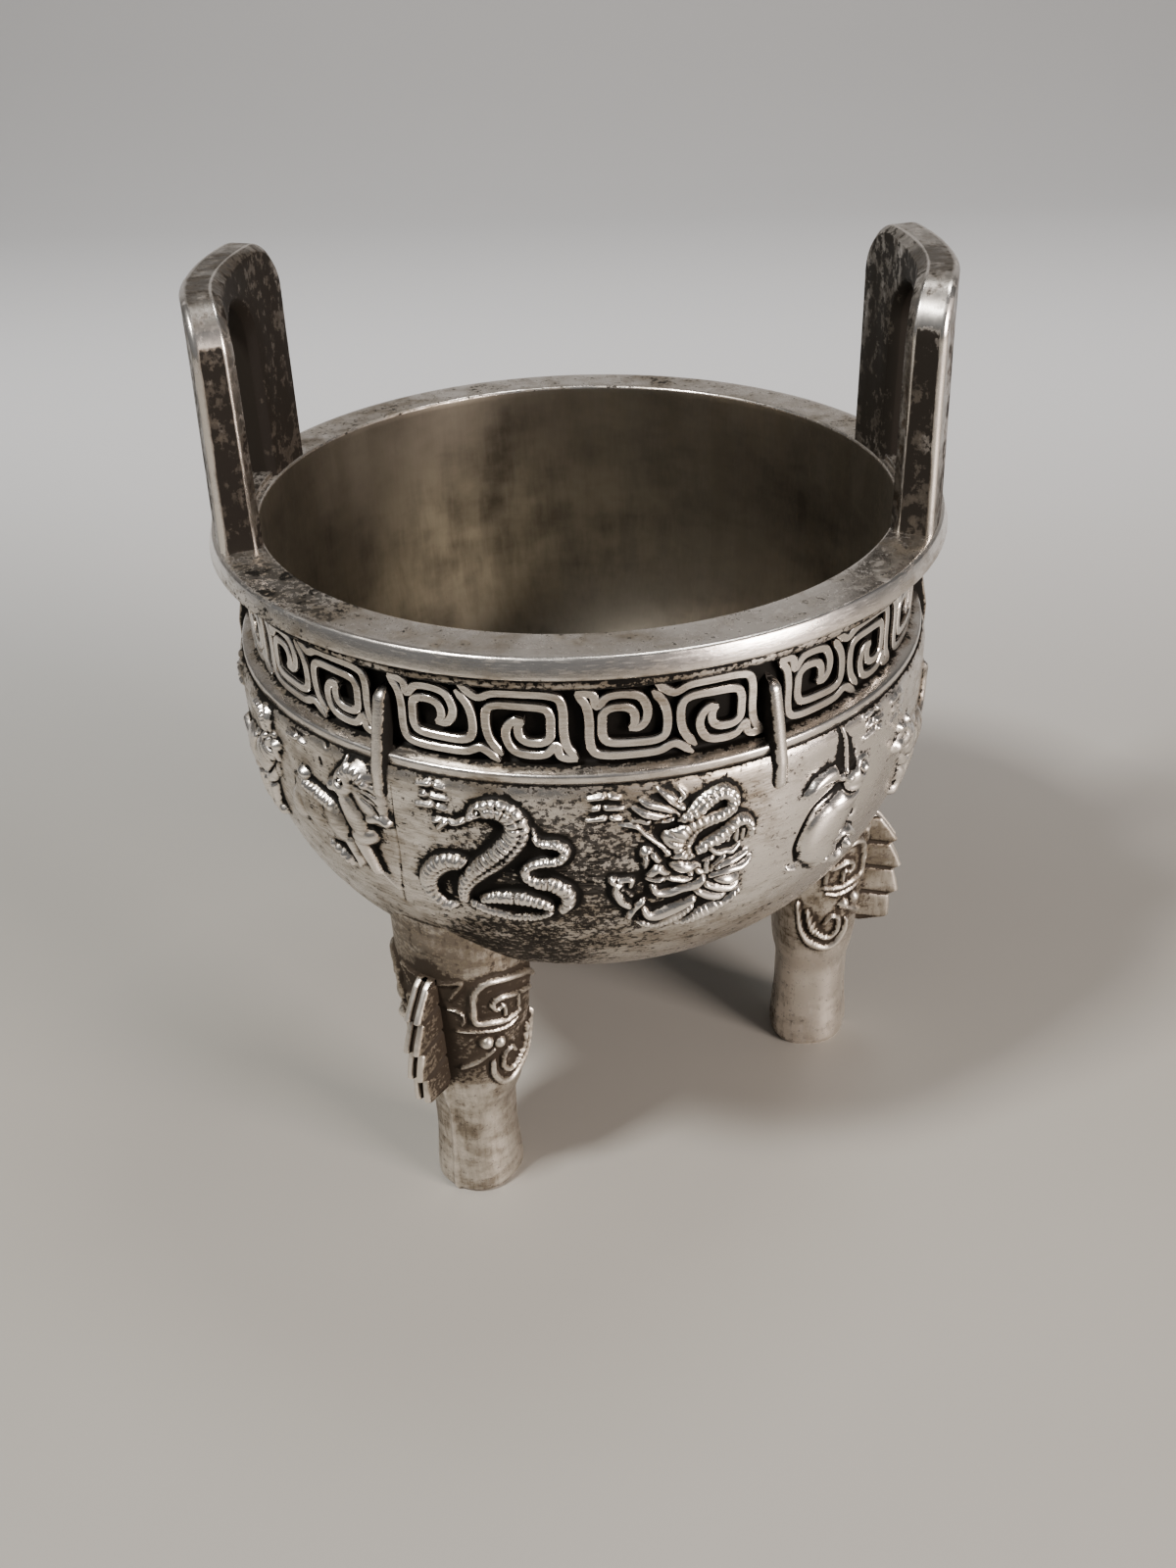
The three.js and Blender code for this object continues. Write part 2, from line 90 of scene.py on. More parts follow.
def bellyProfile(height, radius, depth):
    power = vessel["bellySquareness"]
    below = np.clip((widestHeight - height) / depth, 0, 1)
    share = (1 - below ** power) ** (1 / power)
    across = share ** (power - 1) / radius
    down = below ** (power - 1) / depth
    length = np.hypot(across, down)
    return radius * share, across / length, -down / length


def onBelly(angle, height, raised):
    radius, outward, upward = bellyProfile(height, bellyRadius, vessel["bellyDepth"])
    return radialPoint(angle, radius + raised * outward, height + raised * upward)


# Mesh making

def pieceFrom(name, points, faces, material, patina=None, sharpDegrees=40):
    mesh = bpy.data.meshes.new(name)
    faces = [np.asarray(group) for group in faces if len(group)]
    loops = np.concatenate([group.ravel() for group in faces])
    sizes = np.concatenate([np.full(len(group), group.shape[1]) for group in faces])
    mesh.vertices.add(len(points))
    mesh.vertices.foreach_set("co", (np.asarray(points) * millimetre).astype(np.float32).ravel())
    mesh.loops.add(len(loops))
    mesh.loops.foreach_set("vertex_index", loops.astype(np.int32))
    mesh.polygons.add(len(sizes))
    mesh.polygons.foreach_set("loop_start", np.concatenate([[0], np.cumsum(sizes)[:-1]]).astype(np.int32))
    mesh.update(calc_edges=True)
    mesh.validate()
    # patina: black in hollows and rubbed bright on high places; on the ears, legs and flanges it also carries
    # painted highlight and painted shade
    layer = mesh.attributes.new("patina", "FLOAT", "POINT")
    layer.data.foreach_set("value", np.broadcast_to(0.0 if patina is None else patina,
                                                    len(points)).astype(np.float32))
    mesh.shade_smooth()
    mesh.set_sharp_from_angle(angle=math.radians(sharpDegrees))
    mesh.materials.append(material)
    piece = bpy.data.objects.new(name, mesh)
    bpy.context.scene.collection.objects.link(piece)
    return piece


def gridFaces(rows, columns, closed=False):
    row, column = np.meshgrid(np.arange(rows - 1), np.arange(columns - (0 if closed else 1)), indexing="ij")
    here = row * columns + column
    beside = row * columns + (column + 1) % columns
    return np.stack([here, beside, beside + columns, here + columns], -1).reshape(-1, 4)


def sweptFaces(rows, columns):
    # the sides and both ends of a section swept along rows, its last point joined to its first
    first = np.arange(columns)[None, ::-1]
    return [gridFaces(rows, columns, closed=True), first, first[:, ::-1] + (rows - 1) * columns]


def rideCast(piece):
    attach(piece, castBody)
    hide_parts(castNode)
    return piece


def smoothPath(points, step=0.15):
    # a curve through the points, whose columns are across, up and any others
    points = np.asarray(points, float)
    if len(points) == 2:
        points = np.stack([points[0], points.mean(0), points[1]])
    padded = np.vstack([2 * points[0] - points[1], points, 2 * points[-1] - points[-2]])
    samples = []
    for before, start, end, after in zip(padded, padded[1:], padded[2:], padded[3:]):
        count = max(int(np.hypot(*(end - start)[:2]) / step), 2)
        t = np.linspace(0, 1, count, endpoint=False)[:, None]
        samples.append(0.5 * (2 * start + (end - before) * t
                              + (2 * before - 5 * start + 4 * end - after) * t ** 2
                              + (3 * start - before - 3 * end + after) * t ** 3))
    return np.vstack([*samples, points[-1:]])


# Relief carved as a height over a surface

def limb(points, rise, ribs=0.0, seam=None):
    # a rounded limb through (across, up, half width); ribs is their pitch, seam a groove's place
    return {"kind": "limb", "points": points, "rise": rise, "ribs": ribs, "seam": seam}


def lobe(across, up, length, width, tilt, rise, parted=True):
    # a rounded swelling, parted from what it crosses or melting into it
    return {"kind": "lobe", "middle": (across, up), "half": (length, width), "tilt": tilt, "rise": rise,
            "parted": parted}


def cut(points, depth):
    return {"kind": "cut", "points": points, "depth": depth}


carving = {
    "moatWidth": 0.2,  # a later form is parted from what it crosses by this
    "moatShare": 0.8,
    "ribDepth": 0.4,
    "ribWidth": 0.14,  # share of the pitch
    "ribPitch": 1.15,  # times each limb's own
    "chevron": 0.22,  # ribs bend back by this share of the pitch towards the edges
    "seamDepth": 0.3,
    "seamWidth": 0.13,  # share of the half width
    "fullHalf": 0.45,  # a limb thinner than this stands lower
    "leastHalf": 0.05,
}


def nearestOn(path, x, y):
    best = np.full(x.shape, 1e9)
    index = np.zeros(x.shape, int)
    for i, point in enumerate(path):
        away = (x - point[0]) ** 2 + (y - point[1]) ** 2
        closer = away < best
        best[closer] = away[closer]
        index[closer] = i
    return np.sqrt(best), index


def limbHeight(form, x, y):
    path = smoothPath(form["points"])
    distance, index = nearestOn(path, x, y)
    steps = np.hypot(*np.diff(path[:, :2], axis=0).T)
    along = np.concatenate([[0], np.cumsum(steps)])
    tangent = np.gradient(path[:, :2], axis=0)
    half = np.maximum(path[index, 2], carving["leastHalf"])
    if form["kind"] == "cut":
        return distance / half, half
    side = (x - path[index, 0]) * -tangent[index, 1] + (y - path[index, 1]) * tangent[index, 0]
    share = distance / half
    height = form["rise"] * np.sqrt(np.clip(1 - share ** 2, 0, 1))
    height *= np.minimum(half / carving["fullHalf"], 1) ** 0.5
    if form["ribs"]:
        phase = along[index] / (form["ribs"] * carving["ribPitch"]) + carving["chevron"] * share ** 2
        off = np.abs(phase - np.round(phase)) / carving["ribWidth"]
        height *= 1 - carving["ribDepth"] * np.exp(-off ** 2)
    if form["seam"] is not None:
        signed = share * np.sign(side)
        height *= 1 - carving["seamDepth"] * np.exp(-((signed - form["seam"]) / carving["seamWidth"]) ** 2)
    return height, (share - 1) * half


def lobeHeight(form, x, y):
    turn = math.radians(form["tilt"])
    dx = x - form["middle"][0]
    dy = y - form["middle"][1]
    along = (dx * math.cos(turn) + dy * math.sin(turn)) / form["half"][0]
    across = (-dx * math.sin(turn) + dy * math.cos(turn)) / form["half"][1]
    share = np.hypot(along, across)
    height = form["rise"] * np.clip(1 - share ** 2, 0, 1) ** 0.6
    return height, (share - 1) * min(form["half"])


def carvedHeight(forms, x, y):
    # the height of the forms, and the black that lies in their cuts
    height = np.zeros(x.shape)
    stain = np.zeros(x.shape)
    for form in forms:
        reach = max(form["half"]) if form["kind"] == "lobe" else max(p[2] for p in form["points"])
        places = np.array([form["middle"]] if form["kind"] == "lobe" else form["points"])[:, :2]
        low = places.min(0) - reach - 1
        high = places.max(0) + reach + 1
        near = (x > low[0]) & (x < high[0]) & (y > low[1]) & (y < high[1])
        if not near.any():
            continue
        nearX = x[near]
        nearY = y[near]
        old = height[near]
        if form["kind"] == "cut":
            share, half = limbHeight(form, nearX, nearY)
            height[near] = old - form["depth"] * np.exp(-share ** 2)
            stain[near] += form["depth"] * np.exp(-share ** 2)
            continue
        raised, outside = (lobeHeight if form["kind"] == "lobe" else limbHeight)(form, nearX, nearY)
        moat = np.exp(-(np.maximum(outside, 0) / carving["moatWidth"]) ** 2) * (outside > -0.05)
        share = carving["moatShare"] if form.get("parted", True) else 0
        height[near] = np.maximum(old * (1 - share * moat), raised)
        stain[near] = np.where(raised > 0.05, 0, stain[near])
    return height, stain


def blurred(field, radius, spacing):
    # the mean over a window about radius wide, by three box passes each way
    window = max(int(round(radius / spacing)), 1)
    for axis in (0, 1):
        for _ in range(3):
            padded = np.pad(field, [(window, window) if k == axis else (0, 0) for k in (0, 1)], mode="edge")
            total = np.cumsum(padded, axis)
            total = np.insert(total, 0, 0, axis)
            size = field.shape[axis]
            upper = np.take(total, np.arange(size) + 2 * window + 1, axis)
            lower = np.take(total, np.arange(size), axis)
            field = (upper - lower) / (2 * window + 1)
    return field


patinaRange = (-1, 1.2)  # from rubbed bright to solid black; in places the bright end is a painted highlight and the dark end painted shade
# how far round each looks in mm, the depth that it lets pass, how much it darkens and how much it brightens
surroundings = [(0.28, 0.0, 4.2, 2.4), (0.75, 0.05, 0.8, 1.0), (1.3, 0.26, 2.4, 0.0)]


def patinaOf(height, spacing):
    # dark where the surface lies under its surroundings, bright where it stands above them
    dark = 0
    bright = 0
    for radius, passed, darkens, brightens in surroundings:
        sunk = blurred(height, radius, spacing) - height
        dark = dark + darkens * np.clip(sunk - passed, 0, 1)
        bright = bright + brightens * np.clip(-sunk, 0, 1)
    return np.clip(dark - bright, *patinaRange)


# Materials

castFinish = {
    "silver": (0.82, 0.77, 0.71, 1),
    "tarnish": (0.29, 0.248, 0.195, 1),
    "black": (0.004, 0.0034, 0.0026, 1),
    "silverRoughness": 0.2,
    "tarnishRoughness": 0.36,
    "blackRoughness": 0.6,
    "film": 0.56,  # share of the plain surface under a film of tarnish
    "mottle": 0.5,  # how far the film breaks into patches
    "speck": 0.95,
    "streak": 0.2,
    "speckle": (1.7, 1.7, 2.3),  # specks in a millimetre along X, Y and Z
    "brush": (0.6, 0.6, 6.5),  # brush marks in a millimetre; here they run level round the vessel
    "grain": 0.014,  # depth of the cast grain in mm
    "sootAndPaintedShade": [],  # places and radii in mm where dark specks crowd and the film darkens: soot, and in places painted shade and a painted dark reflection
    "paintedSheen": [],  # places, radii and how far the film is thinned there: painted sheen and painted highlight
}


# the patterns that every metal here shares; a noise is its scale, where it has one, detail and roughness
metalPattern = {
    "clouds": ((0.085, 0.085, 0.11), 3, 0.5),
    "patches": ((0.4, 0.4, 0.75), 5, 0.62),
    "specks": (5, 0.72),
    "brushed": (4, 0.65),
    "placeCore": 0.3,  # a place of soot and painted shade, or of painted sheen, is full out to this share of its radius
    "crowdedRange": (0.56, 0.8),
    "filmRange": {"clouds": (0.36, 0.66), "patches": (0.38, 0.66), "brushed": (0.34, 0.66)},
    "filmClouds": 0.5,
    "filmBrushed": 0.35,
    "filmSpecksAndPaintedShade": 0.22,
    "filmMean": 0.66,
    "filmPatina": 1.1,
    "speckleShares": {"specks": 1, "crowded": 0.16, "patches": 0.25, "patina": 0.25},
    "speckleRange": (0.71, 0.77),
    "streakShares": {"brushed": 1, "patches": 0.3},
    "streakRange": (0.69, 0.8),
    "depthShares": {"patina": 1, "specks": 0.8, "brushed": 0.4},
    "depthRange": (0.8, 1.25),
    "brushingRange": (0.3, 0.7),
    "brushingRoughness": 0.06,
    "bumpShares": {"specks": 1, "patches": 1.6, "brushed": 0.5},
    "blackGloss": 0.1,  # specular level, which shows only where black hides the metal
}


def nodeMaker(tree):
    def make(kind, **settings):
        node = tree.nodes.new(kind)
        for key, value in settings.items():
            setattr(node, key, value)
        return node
    return make


def calculator(tree):
    # makes a Math node from its operation and its one or two terms, sockets or numbers
    def calc(operation, *terms, clamped=False):
        node = nodeMaker(tree)("ShaderNodeMath", operation=operation, use_clamp=clamped)
        for socket, value in zip(node.inputs, terms):
            if isinstance(value, (int, float)):
                socket.default_value = value
            else:
                tree.links.new(value, socket)
        return node.outputs[0]
    return calc


def shadeMakers(tree):
    # a smooth step from one range to another, and a mix of two colours
    make = nodeMaker(tree)

    def ranged(value, low, high, to=(0, 1)):
        node = make("ShaderNodeMapRange", interpolation_type="SMOOTHSTEP")
        for label, limit in zip(("From Min", "From Max", "To Min", "To Max"), (low, high, *to)):
            node.inputs[label].default_value = limit
        tree.links.new(value, node.inputs["Value"])
        return node.outputs["Result"]

    def mixed(share, first, second):
        node = make("ShaderNodeMix", data_type="RGBA")
        tree.links.new(share, node.inputs["Factor"])
        for socket, colour in ((node.inputs["A"], first), (node.inputs["B"], second)):
            if isinstance(colour, tuple):
                socket.default_value = colour
            else:
                tree.links.new(colour, socket)
        return node.outputs["Result"]
    return ranged, mixed


def castMetal(name, settings):
    material = bpy.data.materials.new(name)
    material.use_nodes = True
    tree = material.node_tree
    tree.nodes.clear()
    make = nodeMaker(tree)
    calc = calculator(tree)
    ranged, mixed = shadeMakers(tree)
    join = tree.links.new
    output = make("ShaderNodeOutputMaterial")
    shader = make("ShaderNodeBsdfPrincipled")
    join(shader.outputs[0], output.inputs["Surface"])
    place = make("ShaderNodeTexCoord").outputs["Object"]

    def noise(stretch, detail, roughness):
        mapping = make("ShaderNodeMapping")
        mapping.inputs["Scale"].default_value = [s / millimetre for s in stretch]
        join(place, mapping.inputs["Vector"])
        texture = make("ShaderNodeTexNoise")
        texture.inputs["Scale"].default_value = 1.0
        texture.inputs["Detail"].default_value = detail
        texture.inputs["Roughness"].default_value = roughness
        join(mapping.outputs[0], texture.inputs["Vector"])
        return texture.outputs["Fac"]

    def sums(*terms, clamped=False):
        total = terms[0]
        for term in terms[1:]:
            total = calc("ADD", total, term, clamped=clamped)
        return total

    def times(first, second):
        return calc("MULTIPLY", first, second)

    def closeness(middle, radius):
        away = make("ShaderNodeVectorMath", operation="DISTANCE")
        join(place, away.inputs[0])
        away.inputs[1].default_value = [value * millimetre for value in middle]
        reach = radius * millimetre
        return ranged(away.outputs["Value"], reach * metalPattern["placeCore"], reach, (1, 0))

    def weighted(shares, **extra):
        # the patterns summed, each times its share
        patterns = {"patina": patina, "patches": patches, "specks": specks, "brushed": brushed, **extra}
        return sums(*[patterns[key] if share == 1 else times(patterns[key], share)
                      for key, share in shares.items()])

    patina = make("ShaderNodeAttribute", attribute_name="patina").outputs["Fac"]
    clouds = noise(*metalPattern["clouds"])
    patches = noise(*metalPattern["patches"])
    specks = noise(settings["speckle"], *metalPattern["specks"])
    brushed = noise(settings["brush"], *metalPattern["brushed"])

    # dark specks crowd at random, and in the listed places as soot, painted shade and painted dark reflection
    crowded = ranged(clouds, *metalPattern["crowdedRange"])
    for *middle, radius in settings["sootAndPaintedShade"]:
        crowded = calc("MAXIMUM", crowded, closeness(middle, radius))
    film = sums(*[times(ranged(pattern, *metalPattern["filmRange"][key]), share) for key, pattern, share in (
        ("clouds", clouds, metalPattern["filmClouds"]), ("patches", patches, settings["mottle"]),
        ("brushed", brushed, metalPattern["filmBrushed"]))],
        times(crowded, metalPattern["filmSpecksAndPaintedShade"]), settings["film"] - metalPattern["filmMean"])
    # the film thins in the listed places as painted sheen and painted highlight
    for *middle, radius, paintedSheenShare in settings["paintedSheen"]:
        film = sums(film, times(closeness(middle, radius), -paintedSheenShare))
    film = sums(film, times(patina, metalPattern["filmPatina"]), clamped=True)
    speckle = weighted(metalPattern["speckleShares"], crowded=crowded)
    speckle = times(ranged(speckle, *metalPattern["speckleRange"]), settings["speck"])
    streaks = ranged(weighted(metalPattern["streakShares"]), *metalPattern["streakRange"])
    depth = ranged(weighted(metalPattern["depthShares"]), *metalPattern["depthRange"])
    dark = calc("ADD", sums(speckle, times(streaks, settings["streak"])), depth, clamped=True)

    # silver under a tarnish film, which also carries the painted sheen and painted shade listed for each
    # metal
    wornAndPaintedLight = mixed(film, settings["silver"], settings["tarnish"])
    join(mixed(dark, wornAndPaintedLight, settings["black"]), shader.inputs["Base Color"])
    join(ranged(dark, 0, 1, (1.0, 0.0)), shader.inputs["Metallic"])
    shader.inputs["Specular IOR Level"].default_value = metalPattern["blackGloss"]
    roughness = ranged(film, 0, 1, (settings["silverRoughness"], settings["tarnishRoughness"]))
    brushing = times(ranged(brushed, *metalPattern["brushingRange"]), metalPattern["brushingRoughness"])
    spread = settings["blackRoughness"] - settings["tarnishRoughness"]
    join(sums(calc("ADD", roughness, brushing), times(dark, spread), clamped=True),
         shader.inputs["Roughness"])
    bump = make("ShaderNodeBump")
    bump.inputs["Distance"].default_value = settings["grain"] * millimetre
    bump.inputs["Strength"].default_value = 1.0
    join(weighted(metalPattern["bumpShares"]), bump.inputs["Height"])
    join(bump.outputs[0], shader.inputs["Normal"])
    return material


fretSilver = castMetal("polished silver of the fret", {
    **castFinish, "film": 0.5, "mottle": 0.3, "speck": 0.4, "streak": 0.1, "grain": 0.006})
# dark specks with a painted dark reflection on the front of the belly, dark specks on the rim at the left,
# painted sheen and painted highlight on the right of the belly and rim
castSilver = castMetal("worn silver over black patina", {
    **castFinish, "sootAndPaintedShade": [(-2, -34, 46, 15), (-6, -30, 36, 11), (-25, -21, 69, 12)],
    "paintedSheen": [(26, -24, 48, 19, 0.6), (20, -30, 66, 16, 0.25)]})
# painted shade with dark specks on the top of the left leg under the belly, painted light on the right leg's
# shin
legSilver = castMetal("yellowed silver of the legs", {
    **castFinish, "silver": (0.78, 0.72, 0.64, 1), "tarnish": (0.25, 0.21, 0.16, 1),
    "black": (0.028, 0.021, 0.015, 1), "silverRoughness": 0.34, "film": 0.66, "speck": 0.7, "streak": 0.25,
    "brush": (1.5, 1.5, 0.3), "grain": 0.008, "sootAndPaintedShade": [(-14, -24, 34, 9)],
    "paintedSheen": [(26, -3, 7, 15, 0.6)]})
earSilver = castMetal("brown silver of the ears", {
    **castFinish, "tarnish": (0.105, 0.09, 0.073, 1), "black": (0.011, 0.009, 0.007, 1), "film": 0.7,
    "mottle": 0.2, "speck": 0.45, "speckle": (0.8, 0.8, 0.7), "streak": 0.3, "brush": (0.7, 0.7, 0.35),
    "grain": 0.004})
# darker low at the back of the inside, and lighter patches of painted sheen on the walls
innerSilver = castMetal("brown film inside the bowl", {
    **castFinish, "silver": (0.36, 0.325, 0.265, 1), "tarnish": (0.095, 0.083, 0.066, 1), "film": 0.56,
    "mottle": 0.1, "speck": 0.0, "streak": 0.0, "brush": (0.3, 0.3, 0.06), "silverRoughness": 0.34,
    "tarnishRoughness": 0.4, "grain": 0.0015, "sootAndPaintedShade": [(4, 26, 39, 21)],
    "paintedSheen": [(-15, 25, 43, 9, 0.3), (18, 24, 55, 12, 0.25)]})
print("metals mixed")


# Bowl

bowl = {
    "turnSteps": 300,
    "rowStep": 0.55,
    "bellyRows": 60,
    "hiddenRows": 20,  # behind the tiles
    "neckRows": 14,
    "mouthStraight": 4,  # below the rim, where the inside's close rows end
    "edgeRound": 0.3,
    "tileInset": 0.7,  # the wall is cut back behind the carved tiles
    "tileBottom": 38.0,
    "tileTop": beadBottom - 0.15,
    "bandPatina": 1.1,
    "undercutPatina": 0.9,
}


def roundedProfile(corners, radius, step):
    # a profile whose columns are radius, height and patina, with each corner eased
    rows = [np.array(corners[0], float)]
    for before, corner, after in zip(corners, corners[1:], corners[2:]):
        before, corner, after = (np.array(p, float) for p in (before, corner, after))
        lengths = [np.hypot(*(end - corner)[:2]) for end in (before, after)]
        ease = min(radius, lengths[0] * 0.45, lengths[1] * 0.45)
        start = corner + (before - corner) * ease / lengths[0]
        end = corner + (after - corner) * ease / lengths[1]
        for t in (0, 0.33, 0.67, 1):
            rows.append(start * (1 - t) ** 2 + 2 * corner * t * (1 - t) + end * t ** 2)
    rows.append(np.array(corners[-1], float))
    filled = [rows[0]]
    for start, end in zip(rows, rows[1:]):
        count = max(int(np.hypot(*(end - start)[:2]) / step), 1)
        filled += [start + (end - start) * i / count for i in range(1, count + 1)]
    return np.array(filled)


def quarterProfile(radius, depth, top, low, rows, patina):
    # from the height top down to low on a belly of this radius and depth
    power = vessel["bellySquareness"]

    def turnAt(height):
        return math.asin(min(max((widestHeight - height) / depth, 0), 1) ** (power / 2))

    turns = np.linspace(turnAt(top), turnAt(low), rows)
    across = radius * np.maximum(np.cos(turns), 0) ** (2 / power)
    return np.stack([across, widestHeight - depth * np.sin(turns) ** (2 / power), 0 * turns + patina], -1)


def bowlShell():
    rim = rimHeight
    band = bowl["bandPatina"]
    under = bowl["undercutPatina"]
    lip = neckRadius + vessel["lipProud"]
    bead = neckRadius + vessel["beadProud"]
    behind = bellyRadius - bowl["tileInset"]
    depth = vessel["bellyDepth"]
    outside = roundedProfile([
        (mouthRadius, rim - bowl["mouthStraight"], 0.1), (mouthRadius, rim, 0.05),
        (rimRadius - 0.7, rim, 0.1),
        (rimRadius, rim, -0.7),
        (rimRadius + vessel["rimFlare"], rim - vessel["rimDepth"], -0.15),
        (lip, rim - vessel["rimDepth"] - vessel["rimUndercut"], under),
        (lip + 0.12, bandTop + vessel["lipDepth"] * 1.2, 0.1),
        (lip - 0.1, bandTop + vessel["lipDepth"] * 0.2, 0.8),
        (neckRadius, bandTop - 0.2, band), (neckRadius, bandBottom + 0.2, band),
        (bead, bandBottom - 0.15, -0.5), (bead, beadBottom + 0.1, -0.1),
        (behind, beadBottom - 0.35, 0.7), (behind, widestHeight, 0.5)], bowl["edgeRound"], bowl["rowStep"])
    hidden = quarterProfile(behind, depth - bowl["tileInset"], widestHeight, bowl["tileBottom"] + 0.4,
                            bowl["hiddenRows"], 0)
    below = quarterProfile(bellyRadius, depth, bowl["tileBottom"] + 0.02, legHeight, bowl["bellyRows"], 0.1)
    wall = vessel["floorWall"]
    inside = quarterProfile(mouthRadius, depth - wall, widestHeight, legHeight + wall, bowl["bellyRows"],
                            0.1)[::-1]
    heights = np.linspace(widestHeight, rim - bowl["mouthStraight"], bowl["neckRows"])[1:-1]
    neck = np.array([(mouthRadius, height, 0.1) for height in heights])
    profile = np.vstack([outside, hidden[1:], below, inside, neck])
    turns = np.arange(bowl["turnSteps"]) * 2 * math.pi / bowl["turnSteps"]
    rings = radialPoint(turns[None, :], profile[:, :1], profile[:, 1:2])
    count = len(turns)
    patina = np.repeat(profile[:, 2], count)
    points = rings.reshape(-1, 3)
    quads = gridFaces(len(profile), count, closed=True)[:, ::-1]
    lastStart = (len(profile) - 1) * count
    here = np.arange(count)
    closing = np.stack([lastStart + here, here, (here + 1) % count, lastStart + (here + 1) % count], -1)
    closing = closing[:, ::-1]
    atPole = np.flatnonzero(profile[:, 0] < 1e-6)
    return points, patina, np.vstack([quads, closing]), atPole, count


def makeBowl():
    points, patina, quads, poles, count = bowlShell()
    merged = np.arange(len(points))
    for row in poles:
        merged[row * count:(row + 1) * count] = row * count
    quads = merged[quads]
    flat = [len(set(quad)) < 4 for quad in quads.tolist()]
    solid = quads[~np.array(flat)]
    pinched = [list(dict.fromkeys(quad)) for quad in quads[np.array(flat)].tolist()]
    pinched = np.array([face for face in pinched if len(face) == 3])
    used = np.unique(np.concatenate([solid.ravel(), pinched.ravel()]))
    renumber = np.zeros(len(points), int)
    renumber[used] = np.arange(len(used))
    piece = pieceFrom("bowl", points[used], [renumber[solid], renumber[pinched]], castSilver, patina[used])
    piece.data.materials.append(innerSilver)
    centres = np.zeros(len(piece.data.polygons) * 3)
    piece.data.polygons.foreach_get("center", centres)
    centres = centres.reshape(-1, 3) / millimetre
    radius = np.hypot(centres[:, 0], centres[:, 1])
    middle = vessel["floorWall"] / 2
    halfway = (mouthRadius + bellyRadius) / 2
    innerLimit = bellyProfile(centres[:, 2], halfway, vessel["bellyDepth"] - middle)[0]
    inside = (radius < np.minimum(innerLimit, mouthRadius + 0.1)) & (centres[:, 2] < rimHeight - 0.4)
    inside &= centres[:, 2] > legHeight + middle
    piece.data.polygons.foreach_set("material_index", inside.astype(np.int32))
    return rideCast(piece)


makeBowl()
print("bowl turned")


# Key fret on the band, laid flat, repeated along the band and bent round it by Geometry Nodes

fret = {
    "panels": 6,
    "pairsInPanel": 2,
    "height": 6.5,
    "margin": 0.2,  # between a bar and the first key
    "barRoom": 1.1,
    "rise": 0.82,
    "halfWidth": 0.37,
    "flankOut": 0.06,
    "rooted": 0.3,
    "topRound": 0.07,
}
panelTurn = 2 * math.pi / fret["panels"]
keyWidth = (panelTurn * neckRadius - fret["barRoom"] - 2 * fret["margin"]) / (2 * fret["pairsInPanel"])

# The three ribbons of one key, as shares of its width and height.
keyRibbons = [
    [(1.0, .02), (.90, .2), (.87, .42), (.87, .72), (.83, .89), (.7, .95), (.45, .96), (.17, .95), (.03, .88),
     (-.05, .9), (-.2, 1.05)],
    [(.47, .56), (.41, .48), (.42, .34), (.5, .26), (.64, .255), (.725, .33), (.74, .48), (.735, .66),
     (.66, .76),
     (.4, .785), (.19, .78), (.09, .70), (.07, .48), (.11, .26), (.23, .05)],
    [(.47, .58), (.36, .56), (.29, .46), (.28, .3), (.35, .13), (.5, .07), (.68, .09), (.79, .22), (.83, .06),
     (1.0, 0)],
]


def sweptRibbon(path):
    tangent = np.gradient(path, axis=0)
    tangent /= np.linalg.norm(tangent, axis=1)[:, None]
    normal = np.stack([-tangent[:, 1], tangent[:, 0]], -1)
    ends = np.minimum(np.arange(len(path)), np.arange(len(path))[::-1])
    taper = np.clip((ends + 1.2) / 5, 0, 1) ** 0.7
    half = fret["halfWidth"]
    out = fret["flankOut"]
    rise = fret["rise"]
    ease = fret["topRound"]
    section = [(-half - out, -fret["rooted"], 1.0), (-half - out * 0.3, rise * 0.55, 0.9),
               (-half, rise - ease, -0.5), (-half + ease, rise, -0.25), (-half * 0.45, rise, 0.0)]
    section += [(-across, raised, dark) for across, raised, dark in section[::-1]]
    rings = []
    for across, raised, dark in section:
        flat = path + normal * (across * taper)[:, None]
        rings.append(np.column_stack([flat, np.full(len(path), raised)]))
    points = np.stack(rings, 1).reshape(-1, 3)
    dark = np.tile([dark for _, _, dark in section], len(path))
    return points, sweptFaces(len(path), len(section)), dark


def makeKey():
    points = []
    faces = []
    dark = []
    start = 0
    for ribbon in keyRibbons:
        path = smoothPath([(x * keyWidth, (y - 0.5) * fret["height"]) for x, y in ribbon], 0.16)
        ribbonPoints, ribbonFaces, ribbonDark = sweptRibbon(path)
        points.append(ribbonPoints)
        faces += [group + start for group in ribbonFaces]
        dark.append(ribbonDark)
        start += len(ribbonPoints)
    return pieceFrom("fret_key", np.vstack(points), faces, fretSilver, np.concatenate(dark), 30)


def newTree(name, inputs):
    # a tree with its named inputs, and what identifies each of them
    tree = bpy.data.node_groups.new(name, "GeometryNodeTree")
    tree.interface.new_socket("Geometry", in_out="INPUT", socket_type="NodeSocketGeometry")
    tree.interface.new_socket("Geometry", in_out="OUTPUT", socket_type="NodeSocketGeometry")
    named = {label: tree.interface.new_socket(label, in_out="INPUT",
                                              socket_type="NodeSocket" + kind).identifier
             for label, kind in inputs.items()}
    return tree, named


